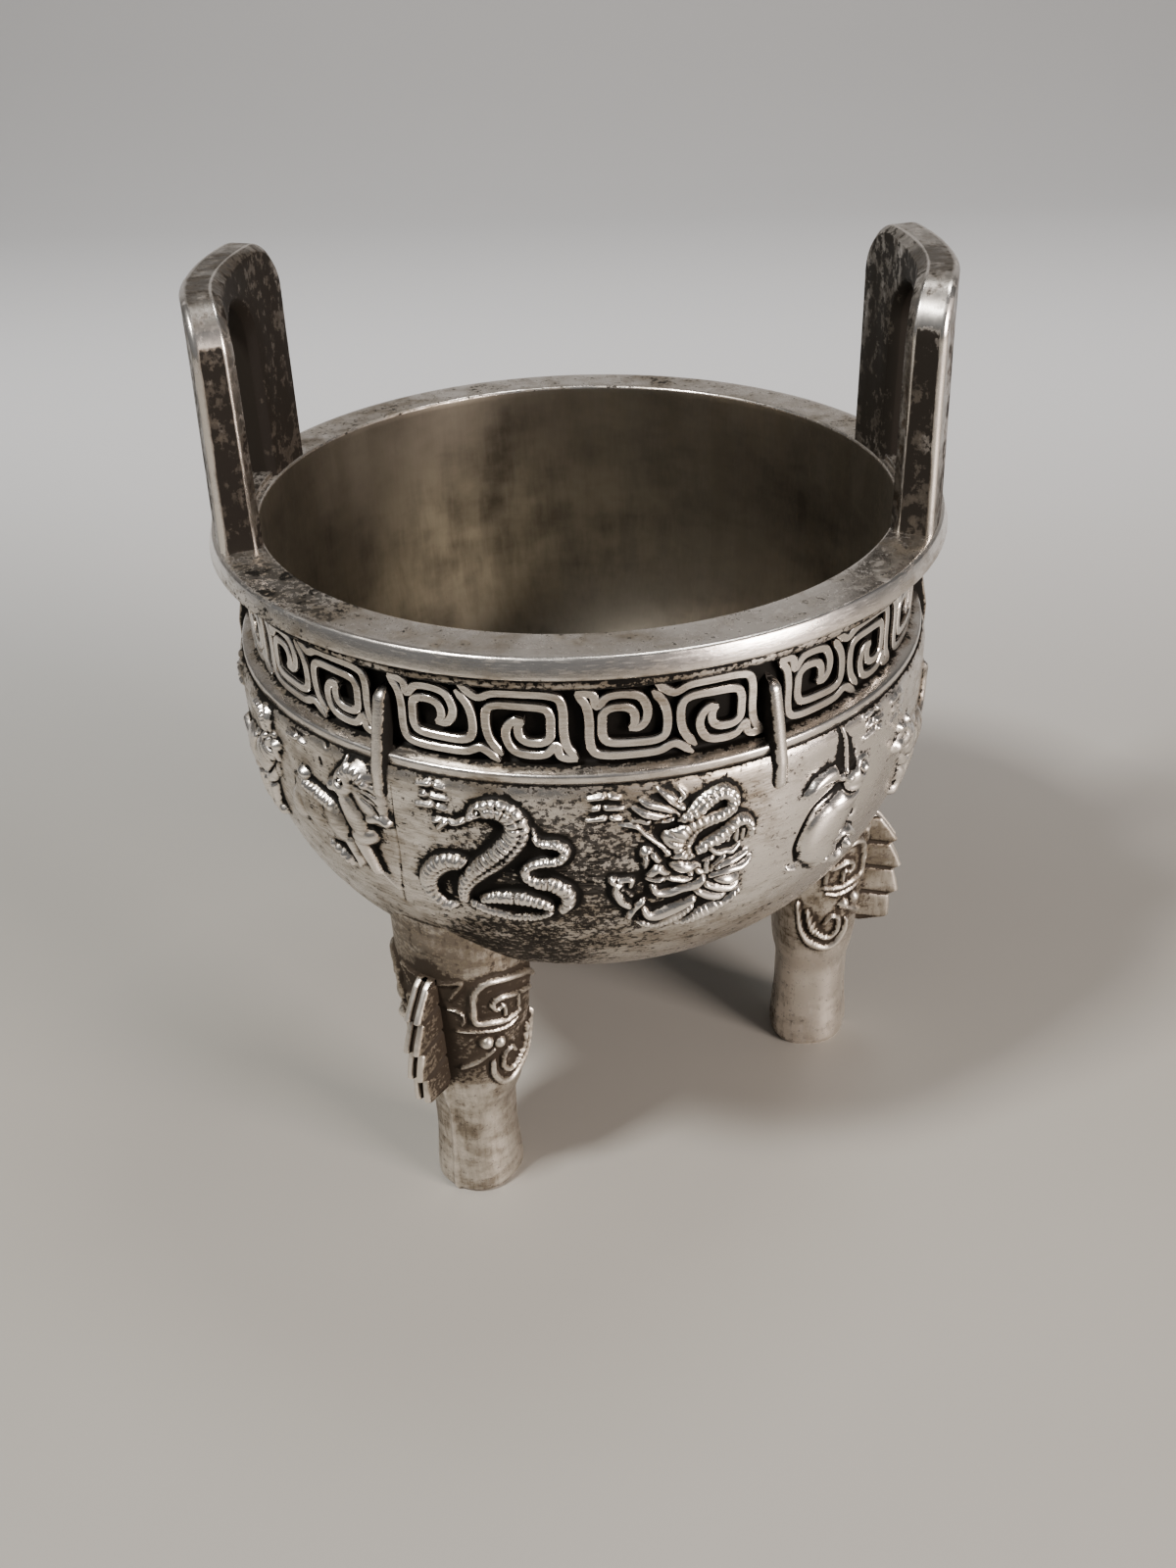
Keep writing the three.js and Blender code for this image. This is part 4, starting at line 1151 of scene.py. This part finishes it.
# name: where its tile starts and ends, the figure's middle, its forms, how bold they are, and its mark
tiles = {
    "goat": (-175, -140.5, -152, goat, 1.3, (-7.6, 7.2)),
    "horse": (-140.5, -118.1, -127, horse, 1.12, (-6.4, 8.4)),
    "snake": (-118.1, -89.8, -102.5, snake, 1.12, (-5.4, 6.6)),
    "dragon": (-89.8, -60.4, -73.8, dragon, 1.2, (-7.6, 6.4)),
    "rabbit": (-60.4, -37, -50.5, rabbit, 1.1, (6.3, 7.0)),
    "tiger": (-37, -8, -22.5, tiger, 1.1, (-6.0, 6.4)),
    "ox": (-8, 22.5, 8, ox, 1.1, (6.0, 6.4)),
    "rat": (22.5, 52, 37, rat, 1.1, (-6.0, 6.0)),
    "pig": (52, 82, 67, pig, 1.1, (-6.0, 6.2)),
    "dog": (82, 112, 97, dog, 1.1, (6.0, 6.2)),
    "rooster": (112, 142, 127, rooster, 1.1, (2.2, 6.6)),
    "monkey": (142, 185, 159, monkey, 1.1, (9.0, 6.2)),
}


def makeTile(name, start, end, middle, forms, bold, *marksAt):
    spacing = belly["fineGrid"] if end < belly["fineUntil"] else belly["plainGrid"]
    perDegree = math.radians(bellyRadius)
    columns = int((end - start) * perDegree / spacing) + 1
    rows = int((bowl["tileTop"] - bowl["tileBottom"]) / spacing) + 1
    turns, heights = np.meshgrid(np.linspace(start, end, columns),
                                 np.linspace(bowl["tileBottom"], bowl["tileTop"], rows))
    across = (turns - middle) * perDegree
    up = heights - belly["figureHeight"]
    marks = [stroke for place in marksAt for stroke in mark(*place)]
    raised, stain = carvedHeight(marks + [bolder(form, bold) for form in forms()], across, up)
    soft = belly["softened"]
    raised = blurred(raised, spacing * soft, spacing) * soft + raised * (1 - soft)
    raised = np.clip(raised, belly["deepestCut"], belly["mostRaised"])
    patina = patinaOf(raised, spacing) + stain
    shoulder = np.clip((heights - beadBottom) / belly["shoulder"] + 1, 0, 1) ** 2
    raised = raised - shoulder * belly["shoulderDrop"]
    patina = np.clip(patina + shoulder ** 3 * belly["shoulderPatina"], *patinaRange)
    top = onBelly(np.radians(turns), heights, raised).reshape(-1, 3)
    lastRow = (rows - 1) * columns
    border = np.concatenate([np.arange(columns), columns * np.arange(1, rows) + columns - 1,
                             lastRow + np.arange(columns - 2, -1, -1), columns * np.arange(rows - 2, 0, -1)])
    under = onBelly(np.radians(turns), heights, -belly["tileDepth"] + 0 * raised).reshape(-1, 3)[border]
    centre = onBelly(math.radians((start + end) / 2), np.array((bowl["tileTop"] + bowl["tileBottom"]) / 2),
                     -belly["tileDepth"] * 1.4)[None]
    count = len(top)
    ring = np.arange(len(border))
    nextRing = (ring + 1) % len(border)
    skirt = np.stack([count + ring, count + nextRing, border[nextRing], border], -1)
    fan = np.stack([count + nextRing, count + ring, np.full(len(ring), count + len(border))], -1)
    points = np.vstack([top, under, centre])
    dark = np.concatenate([patina.ravel(), np.full(len(border) + 1, 1.0)])
    faces = [gridFaces(rows, columns), skirt, fan]
    return rideCast(pieceFrom("belly_" + name, points, faces, castSilver, dark, 60))


for name, settings in tiles.items():
    makeTile(name, *settings)
    print("carved", name)


# Legs, each with a mask on both sides of a scalloped flange

leg = {
    "circle": 25.0,
    "footWidth": 8.8, "footDepth": 4.7,
    "shinWidth": 8.1, "shinDepth": 4.3,
    "calfWidth": 9.8, "calfDepth": 4.9,
    "maskWidth": 13.4, "maskDepth": 5.7,
    "rootDepth": 6.2,
    "innerShare": 0.84,
    "turnSteps": 184,
    "rows": 160,
    "buried": 0.5,  # how far the top of a leg goes into the belly's wall
    "maskRise": 0.6,
    "reliefSpacing": 0.22,  # about the distance between the points of the mask
    "maskPatina": 0.45,
    "maskBand": (15.5, 31.5),
    "maskFades": (2.5, 1.5),
    "maskTurn": 112,  # degrees to each side of the front
    "standsProud": 0.25,  # what is raised more than this takes half the mask's patina
    "brightShare": 0.4,  # how much of its shine a raised place keeps
    "paintedShadeBesideFlange": 0.55,  # painted shade down the leg's front beside the flange
    "frontWidth": 1.9,
    "frontBand": (15, 33),
    "frontFade": 3,
    "keelWidth": 0.35,
    "keelRise": 0.3,
    "keelPaintedHighlight": 0.3,
    "keelTop": 17,
    "footEase": 0.36,  # the sole's edge is drawn in by this
    "footEaseHeight": 0.35,
    "bossHeight": 34.3,
    "bossHalf": (2.0, 1.1),
    "bossRise": 0.3,
    "evenings": 26,  # passes that even out the steps between the stations
    "highest": 1.6,  # times the height at which the belly starts
}
legStations = np.array([
    (0.0, leg["footWidth"], leg["footDepth"]), (0.08, leg["footWidth"], leg["footDepth"]),
    (0.28, leg["shinWidth"], leg["shinDepth"]), (0.5, leg["shinWidth"] * 1.02, leg["shinDepth"]),
    (0.57, leg["calfWidth"], leg["calfDepth"]),
    (0.78, (leg["calfWidth"] + leg["maskWidth"]) / 2, (leg["calfDepth"] + leg["maskDepth"]) / 2),
    (1.15, leg["maskWidth"], leg["maskDepth"]), (1.62, leg["maskWidth"], leg["rootDepth"])])
legGirth = leg["maskWidth"] / 2


def legMask():
    # turns from the front of the leg in degrees and heights, one side
    def along(turnsAndHeights):
        return [(math.radians(turn) * legGirth, height, half) for turn, height, half in turnsAndHeights]
    rise = leg["maskRise"]
    return [
        limb(along([(108, 27.6, .4), (90, 29.2, .42), (72, 30.0, .42), (52, 30.3, .42), (40, 29.3, .44),
                    (37, 27.3, .44),
                    (38, 25.4, .42), (54, 25.1, .42), (72, 24.8, .4), (86, 24.9, .3)]), rise),
        limb(along([(100, 26.4, .3), (84, 27.3, .36), (64, 28.0, .36), (55, 27.4, .34), (59, 26.6, .3),
                    (66, 26.9, .3), (68, 25.6, .3)]), rise),
        limb(along([(84, 27.0, .28), (85, 25.6, .26)]), rise * .9),
        limb(along([(8, 29.9, .24), (28, 30.4, .26), (22, 29.2, .24), (16, 28.1, .18)]), rise * .7),
        limb(along([(14, 26.9, .2), (24, 26.6, .26), (28, 25.7, .24), (25, 24.8, .16)]), rise * .7),
        limb(along([(20, 24.1, .2), (44, 24.0, .26), (70, 23.7, .3), (84, 24.0, .2)]), rise * .8),
        limb(along([(22, 21.6, .14), (34, 23.0, .18), (46, 23.5, .14)]), rise * .5),
        limb(along([(22, 19.0, .3), (38, 19.9, .36), (56, 21.2, .3)]), rise * .8),
        limb(along([(110, 22.4, .4), (104, 18.6, .45), (88, 16.0, .48), (70, 15.9, .48), (57, 17.6, .46),
                    (55, 19.4, .36)]), rise),
        limb(along([(98, 21.4, .3), (92, 18.6, .36), (80, 17.4, .38), (68, 18.2, .36), (67, 19.9, .34),
                    (76, 20.6, .3), (83, 19.6, .24)]), rise * 1.1),
        lobe(math.radians(48) * legGirth, 22.5, .95, .85, 0, rise * 1.5),
        lobe(math.radians(62) * legGirth, 22.1, .8, .8, 0, rise * 1.3),
    ]


def legSurface(turn, height, raised):
    share = height / legHeight
    width = np.interp(share, legStations[:, 0], legStations[:, 1])
    depth = np.interp(share, legStations[:, 0], legStations[:, 2])
    ahead = np.cos(turn)
    aside = np.sin(turn)
    inward = ahead < 0
    reach = np.where(inward, depth * leg["innerShare"], depth) * np.sign(ahead) * np.abs(ahead) ** np.where(
        inward, 0.7, 0.9)
    across = width / 2 * np.sign(aside) * np.abs(aside) ** 0.9
    return np.stack([leg["circle"] + reach + raised * ahead, across + raised * aside, height + 0 * turn], -1)


def legTops(turns):
    # each column ends inside the belly's wall, so that no leg shows in the bowl
    power = vessel["bellySquareness"]
    highest = leg["highest"] * legHeight
    tops = np.full(len(turns), highest)
    for _ in range(8):
        points = legSurface(turns, tops, 0 * turns)
        share = np.hypot(points[:, 0], points[:, 1]) / (bellyRadius - leg["buried"])
        below = np.maximum(1 - np.minimum(share, 1) ** power, 0) ** (1 / power)
        tops = np.minimum(widestHeight - (vessel["bellyDepth"] - leg["buried"]) * below, highest)
    return tops


def turned(points, angle):
    cosine = math.cos(angle)
    sine = math.sin(angle)
    return np.stack([points[..., 0] * cosine - points[..., 1] * sine,
                     points[..., 0] * sine + points[..., 1] * cosine, points[..., 2]], -1)


def makeLeg(name, angle, wornAndPaintedLight):
    rows = leg["rows"]
    columns = leg["turnSteps"]
    turns = -math.pi + 2 * math.pi * np.arange(columns) / columns
    tops = legTops(turns)
    heights = np.linspace(0, 1, rows)[:, None] * tops
    turns = np.broadcast_to(turns, heights.shape)
    across = np.abs(turns) * legGirth
    raised, _ = carvedHeight(legMask(), across, heights)
    patina = patinaOf(raised, leg["reliefSpacing"])
    low, high = leg["maskBand"]
    lowFade, highFade = leg["maskFades"]
    inMask = np.clip((heights - low) / lowFade, 0, 1) * np.clip((high - heights) / highFade, 0, 1)
    inMask *= np.abs(turns) < math.radians(leg["maskTurn"])
    # the mask's ground takes patina, less on a leg lightened by painted light
    inMask *= (leg["maskPatina"] - wornAndPaintedLight) * np.where(raised < leg["standsProud"], 1, 0.5)
    patina = np.where(patina < 0, patina * leg["brightShare"], patina) + inMask
    # painted shade on the leg's front on both sides of the flange's root
    low, high = leg["frontBand"]
    front = np.clip((heights - low) / leg["frontFade"], 0, 1) * np.clip(high - heights, 0, 1)
    patina += leg["paintedShadeBesideFlange"] * np.exp(-(across / leg["frontWidth"]) ** 2) * front
    # a keel down the front of the shin, raised and brightened with a painted highlight
    keel = np.exp(-(across / leg["keelWidth"]) ** 2) * (heights < leg["keelTop"])
    raised = raised + keel * leg["keelRise"]
    patina -= leg["keelPaintedHighlight"] * keel
    raised = raised - leg["footEase"] * np.exp(-(heights / leg["footEaseHeight"]) ** 2)
    boss = np.hypot(across / leg["bossHalf"][0], (heights - leg["bossHeight"]) / leg["bossHalf"][1])
    raised += leg["bossRise"] * np.clip(1 - boss ** 2, 0, 1) ** 0.5
    # a running mean up the leg evens out the steps between the stations
    points = legSurface(turns, heights, 0 * raised)
    smooth = points.copy()
    for _ in range(leg["evenings"]):
        smooth[1:-1] = (smooth[:-2] + 2 * smooth[1:-1] + smooth[2:]) / 4
    offset = legSurface(turns, heights, raised) - points
    points = smooth + offset
    points[..., 2] = heights
    dark = np.clip(patina, *patinaRange).ravel()
    points = turned(points, angle).reshape(-1, 3)
    return rideCast(pieceFrom(name, points, sweptFaces(rows, columns), legSilver, dark, 45))


flange = {
    "scallops": 4,
    "pitch": 3.5,
    "bottom": 16.0,
    "halfThick": 0.95,
    "reach": 35.0,
    "depth": 0.9,
    "root": 27.0,
    "bow": 6.0,
    "slotHalf": 0.17,
    "slotDepth": 0.55,
    "grooveWidth": 0.2,
    "grooveDepth": 0.3,
    "grooveSlope": 0.15,
    "swell": 0.86,  # share of the pitch over which a scallop swells before it falls back
    "bowMiddle": 0.55,  # share of the way down at which the flange reaches furthest
    "topFall": 3,
    "topSpare": 0.4,
    "lowEase": 0.5,
    "lowDrawn": 2.2,
    "edgeRound": 0.35,
    "groovePatina": 0.8,
    "paintedRootShade": 0.8,
    "paintedSideShade": 0.35,
    "rows": 130,
    "sideSteps": 26,
}


def makeFlange(name, angle, wornAndPaintedLight):
    top = flange["bottom"] + flange["scallops"] * flange["pitch"]
    height = np.linspace(flange["bottom"], top + flange["topSpare"], flange["rows"])
    down = (top - height) / flange["pitch"]
    part = down - np.floor(down)
    swell = flange["swell"]
    step = np.clip(part / swell, 0, 1) - np.clip((part - swell) / (1 - swell), 0, 1)
    middle = down / flange["scallops"] - flange["bowMiddle"]
    edge = flange["reach"] - flange["bow"] * middle ** 2 - flange["depth"] * (1 - step)
    edge = np.where(height > top, edge - (height - top) * flange["topFall"], edge)
    lowest = np.clip((flange["bottom"] - height) / flange["lowEase"] + 1, 0, 1)
    edge = edge - flange["lowDrawn"] * lowest ** 2
    half = flange["halfThick"]
    across = []
    dark = []
    for share in np.linspace(0, 1, flange["sideSteps"]):
        radius = flange["root"] + (edge - flange["edgeRound"] - flange["root"]) * share
        groove = np.zeros(len(height))
        for k in range(flange["scallops"] + 1):
            notch = top - k * flange["pitch"]
            off = height - notch - (edge - radius) * flange["grooveSlope"]
            groove = np.maximum(groove, np.exp(-(off / flange["grooveWidth"]) ** 2))
        across.append((radius, half - flange["grooveDepth"] * groove))
        # painted shade on the flange's sides, deepest at the root, less on a leg lightened by painted light
        side = flange["paintedSideShade"] + flange["paintedRootShade"] * (1 - share) ** 1.2 - wornAndPaintedLight
        dark.append(np.clip(groove * flange["groovePatina"] + side, -1, 1))
    slot = flange["slotHalf"]
    deep = edge - flange["slotDepth"]
    shoulder = [(edge - 0.12, half * 0.86, -0.5), (edge, half * 0.62, -0.7), (edge - 0.06, slot * 1.9, -0.4),
                (deep, slot, 1.1), (deep, 0.0, 1.1)]
    for radius, thick, shade in shoulder:
        across.append((radius, np.full(len(height), thick)))
        dark.append(np.full(len(height), shade))
    rings = [np.stack([radius, thick, height], -1) for radius, thick in across]
    rings += [np.stack([radius, -thick, height], -1) for radius, thick in across[-2::-1]]
    dark += dark[-2::-1]
    points = np.stack(rings, 1)
    count = len(rings)
    points = turned(points, angle).reshape(-1, 3)
    rows = len(height)
    ends = []
    for row, forward in ((0, True), (rows - 1, False)):
        start = row * count
        pairs = np.array([(start + k, start + k + 1, start + count - 2 - k, start + count - 1 - k)
                          for k in range(count // 2 - 1)])
        tip = np.array([(start + count // 2 - 1, start + count // 2, start + count // 2 + 1)])
        ends += [pairs if forward else pairs[:, ::-1], tip if forward else tip[:, ::-1]]
    quads = gridFaces(rows, count, closed=True)[:, ::-1]
    return rideCast(pieceFrom(name, points, [quads, *ends], legSilver, np.stack(dark, 1).ravel(), 38))


# where each leg stands, and how much its patina is lightened; on the right leg this is painted light
legs = {"left": (-120, 0.0), "right": (0, 0.35), "back": (120, 0.1)}
for name, (degrees, wornAndPaintedLight) in legs.items():
    makeLeg("leg_" + name, math.radians(degrees), wornAndPaintedLight)
    makeFlange("flange_" + name, math.radians(degrees), wornAndPaintedLight)
    print("cast the", name, "leg")


# Ears, arched plates that follow the mouth, with a slot and worn bevels

ear = {
    "height": vessel["earHeight"],
    "width": 26.6,
    "corner": 4.6,
    "thickness": 4.0,
    "taper": 0.5,
    "bevel": 0.42,
    "innerBevel": 0.9,
    "setback": 0.15,
    "slotWidth": 10.6,
    "slotTop": 18.2,
    "slotArch": 4.6,
    "slotSill": 0.6,
    "archSteps": 40,
    "postSteps": 24,
    "rooted": 1.3,
    "cornerShare": 0.6,  # share of the arch's steps that turn the corner
    "edgePatina": 0.56,
    "paintedCornerHighlight": 1.4,
    "paintedHighlightUp": 1.9,  # how far up the corner the painted highlight lies
    "paintedHighlightWidth": 0.55,
    "topFade": 0.3,
}


def earSection(slotX, slotY, outX, outY):
    # round the plate from the inner face by the slot: across, up, radius from the inner face, patina
    length = math.hypot(outX - slotX, outY - slotY)
    thick = ear["thickness"] - ear["taper"] * max((slotY + outY) / 2, 0) / ear["height"]
    bevel = ear["bevel"]
    wide = ear["innerBevel"]
    edge = ear["edgePatina"]
    inner = [(0, wide, 1.1), (.05, wide - .12, .7), (wide - .12, .05, .55), (wide, 0, .5)]
    inner += [(length * k / 6, 0, .5) for k in range(2, 5)]
    inner += [(length - wide, 0, .45), (length - wide + .12, .05, .35), (length - .1, wide - .2, .3),
              (length, wide, -.6), (length, wide + .05, -.2), (length, wide + .16, edge),
              (length, thick / 2, edge)]
    outer = [(0, bevel, 1.1), (.05, bevel - .12, -.3), (bevel - .12, .05, -.5), (bevel, 0, .1)]
    outer += [(length * k / 6, 0, .4) for k in range(2, 5)]
    outer += [(length - bevel, 0, .1), (length - bevel + .12, .05, -.5), (length - .05, bevel - .12, -.8),
              (length, bevel, -.4), (length, bevel + .25, edge)]
    corners = inner + [(across, thick - deep, dark) for across, deep, dark in outer[::-1]]
    corners += [(0, thick / 2, 1.1)]
    return [(slotX + (outX - slotX) * across / length, slotY + (outY - slotY) * across / length, deep, dark)
            for across, deep, dark in corners]


def makeEar(name, angle):
    halfEar = ear["width"] / 2
    halfSlot = ear["slotWidth"] / 2
    inner = mouthRadius + ear["setback"]
    spring = ear["slotTop"] - ear["slotArch"]
    half = []
    for k in range(ear["postSteps"]):
        up = -ear["rooted"] + (spring + ear["rooted"]) * k / ear["postSteps"]
        half.append(earSection(halfSlot, up, halfEar, up))
    for k in range(ear["archSteps"] + 1):
        share = k / ear["archSteps"]
        turn = share * math.pi / 2
        corner = min(share / ear["cornerShare"], 1) * math.pi / 2
        flat = max(share - ear["cornerShare"], 0) / (1 - ear["cornerShare"])
        half.append(earSection(halfSlot * math.cos(turn), spring + ear["slotArch"] * math.sin(turn),
                               (halfEar - ear["corner"]) * (1 - flat) + ear["corner"] * math.cos(corner),
                               ear["height"] - ear["corner"] + ear["corner"] * math.sin(corner)))
    mirrored = [[(-x, y, deep, dark) for x, y, deep, dark in ring] for ring in half[-2::-1]]
    rings = np.array(half + mirrored)
    follow = inner + ear["thickness"] / 2
    radius = inner + rings[..., 2]
    turns = angle + rings[..., 0] / follow
    points = radialPoint(turns, radius, rimHeight + rings[..., 1])
    # a painted highlight turns the dark edge bright round the corner, and the edge is greyer along the top
    dark = rings[..., 3].copy()
    rise = rings[..., 1] - (ear["height"] - ear["corner"])
    outside = np.hypot(rings[..., 0], np.maximum(rings[..., 1] - spring, 0)) > halfSlot + 0.5
    onEdge = (dark == ear["edgePatina"]) & outside
    bright = ear["paintedCornerHighlight"] * np.exp(-((rise - ear["paintedHighlightUp"]) / ear["paintedHighlightWidth"]) ** 2)
    dark = np.where(onEdge, dark - bright - ear["topFade"] * np.clip(rise - 1.2, 0, 1), dark)
    faces = sweptFaces(*rings.shape[:2])
    return rideCast(pieceFrom(name, points.reshape(-1, 3), faces, earSilver, dark.ravel(), 50))


def makeSill(name, angle):
    inner = mouthRadius + ear["setback"]
    outer = inner + ear["thickness"]
    bevel = ear["bevel"]
    low = rimHeight - ear["rooted"]
    high = rimHeight + ear["slotSill"]
    section = [(inner + bevel, low, 0.5), (outer - bevel, low, 0.5), (outer - bevel * 0.9, high - 0.2, -0.3),
               (outer - bevel * 1.2, high, 0.4), (inner + bevel * 1.2, high, 0.4),
               (inner + bevel * 0.9, high - 0.2, -0.3)]
    across = np.linspace(-0.54, 0.54, 18) * ear["slotWidth"]
    turns = angle + across / (inner + ear["thickness"] / 2)
    rings = [radialPoint(turns, np.full(len(turns), radius), height) for radius, height, _ in section]
    points = np.stack(rings, 1).reshape(-1, 3)
    dark = np.tile([shade for _, _, shade in section], len(turns))
    return rideCast(pieceFrom(name, points, sweptFaces(len(turns), len(section)), earSilver, dark, 40))


for name, degrees in {"right": 0, "left": 180}.items():
    makeEar("ear_" + name, math.radians(degrees))
    makeSill("ear_sill_" + name, math.radians(degrees))
print("ears raised")


# Floor, light and camera

# lengths here are metres, as the scene's own are
studio = {
    "floorSize": 2.4,
    "wallStart": 0.42,
    "wallCurve": 0.3,
    "curveSteps": 16,
    "floorColour": (0.245, 0.235, 0.213, 1),
    "floorWorn": 0.93,  # the floor's darker and paler patches, times its colour
    "floorPale": 1.05,
    "patchScale": 14.0,
    "roughness": 0.55,
    "wallColour": (0.82, 0.84, 0.87, 1),
    "paintedGlow": (0.0, 0.29, (0.0, 0.76)),  # painted glow: towards the wall the floor's colour turns to the wall's
    "paintedFalloff": (0.28, 0.6, (1.0, 0.52)),  # painted falloff: further back it turns part of the way to its own again
    "worldColour": (0.62, 0.64, 0.67, 1),
    "worldStrength": 0.24,
}
# each light's place, what it is aimed at, its size, its power in watts and its colour
lights = {
    "window on the left": ((-0.25, -0.2, 0.5), (0, 0, 0.04), (0.085, 0.085), 5.2, (1.0, 0.97, 0.93)),
    "lamp above": ((0.12, 0.12, 0.6), (0, 0, 0.05), (0.2, 0.12), 1.2, (1.0, 0.98, 0.95)),
    "soft light on the right": ((0.40, -0.3, 0.2), (0, 0, 0.04), (0.18, 0.2), 5.0, (1.0, 0.87, 0.8)),
}


def stageMaterial():
    material = bpy.data.materials.new("pale floor")
    material.use_nodes = True
    tree = material.node_tree
    make = nodeMaker(tree)
    ranged, mixed = shadeMakers(tree)
    shader = tree.nodes["Principled BSDF"]
    shader.inputs["Roughness"].default_value = studio["roughness"]
    place = make("ShaderNodeTexCoord").outputs["Object"]
    texture = make("ShaderNodeTexNoise")
    texture.inputs["Scale"].default_value = studio["patchScale"]
    texture.inputs["Detail"].default_value = 5.0
    tree.links.new(place, texture.inputs["Vector"])
    shades = [tuple(share * c for c in studio["floorColour"][:3]) + (1,)
              for share in (studio["floorWorn"], studio["floorPale"])]
    floor = mixed(texture.outputs["Fac"], *shades)
    apart = make("ShaderNodeSeparateXYZ")
    tree.links.new(place, apart.inputs[0])
    # a painted glow where the floor turns up into the wall, and a painted falloff higher up
    paintedGlowShare, high = (ranged(apart.outputs["Y"], *studio[key]) for key in ("paintedGlow", "paintedFalloff"))
    share = calculator(tree)("MULTIPLY", paintedGlowShare, high)
    tree.links.new(mixed(share, floor, studio["wallColour"]), shader.inputs["Base Color"])
    return material


def makeStage():
    # a floor that curves up into a wall
    across = np.array([-studio["floorSize"], studio["floorSize"]]) / millimetre
    run = [(-studio["floorSize"], 0.0)]
    for k in range(studio["curveSteps"] + 1):
        turn = k / studio["curveSteps"] * math.pi / 2
        run.append((studio["wallStart"] + studio["wallCurve"] * math.sin(turn),
                    studio["wallCurve"] * (1 - math.cos(turn))))
    run.append((studio["wallStart"] + studio["wallCurve"], studio["floorSize"]))
    run = np.array(run) / millimetre
    points = np.stack([np.stack([np.full(len(run), x), run[:, 0], run[:, 1]], -1) for x in across], 1)
    faces = [gridFaces(len(run), 2)[:, ::-1]]
    pieceFrom("stage_floor", points.reshape(-1, 3), faces, stageMaterial(), None, 80)


def areaLight(name, place, aim, size, power, colour):
    data = bpy.data.lights.new(name, "AREA")
    data.shape = "RECTANGLE"
    data.size, data.size_y = size
    data.energy = power
    data.color = colour
    lamp = bpy.data.objects.new(name, data)
    lamp.location = place
    lamp.rotation_euler = (Vector(aim) - Vector(place)).to_track_quat("-Z", "Y").to_euler()
    bpy.context.scene.collection.objects.link(lamp)


# the camera as solved from the photo's ellipses; its place is in metres, its angles in radians
photo = {
    "width": 1200,
    "height": 1600,
    "focalPixels": 1577.34,
    "place": (0.003211, -0.142022, 0.126073),
    "yaw": -0.0221680569,
    "pitch": 0.571131483,
    "roll": -0.0354126105,
    "sensor": 36.0,
    "clipStart": 0.005,
}


def makeCamera():
    yaw = photo["yaw"]
    pitch = photo["pitch"]
    roll = photo["roll"]
    forward = Vector((math.sin(yaw) * math.cos(pitch), math.cos(yaw) * math.cos(pitch), -math.sin(pitch)))
    level = Vector((math.cos(yaw), -math.sin(yaw), 0))
    upright = level.cross(forward)
    right = math.cos(roll) * level + math.sin(roll) * upright
    up = -math.sin(roll) * level + math.cos(roll) * upright
    data = bpy.data.cameras.new("photo camera")
    data.sensor_width = photo["sensor"]
    data.lens = photo["focalPixels"] * photo["sensor"] / max(photo["width"], photo["height"])
    data.clip_start = photo["clipStart"]
    camera = bpy.data.objects.new("photo camera", data)
    turn = Matrix((right, up, -forward)).transposed().to_4x4()
    camera.matrix_world = Matrix.Translation(photo["place"]) @ turn
    bpy.context.scene.collection.objects.link(camera)
    bpy.context.scene.camera = camera


makeStage()
for name, settings in lights.items():
    areaLight(name, *settings)
world = bpy.data.worlds.new("room")
bpy.context.scene.world = world
world.use_nodes = True
background = world.node_tree.nodes["Background"].inputs
background["Color"].default_value = studio["worldColour"]
background["Strength"].default_value = studio["worldStrength"]
makeCamera()
print("studio lit")
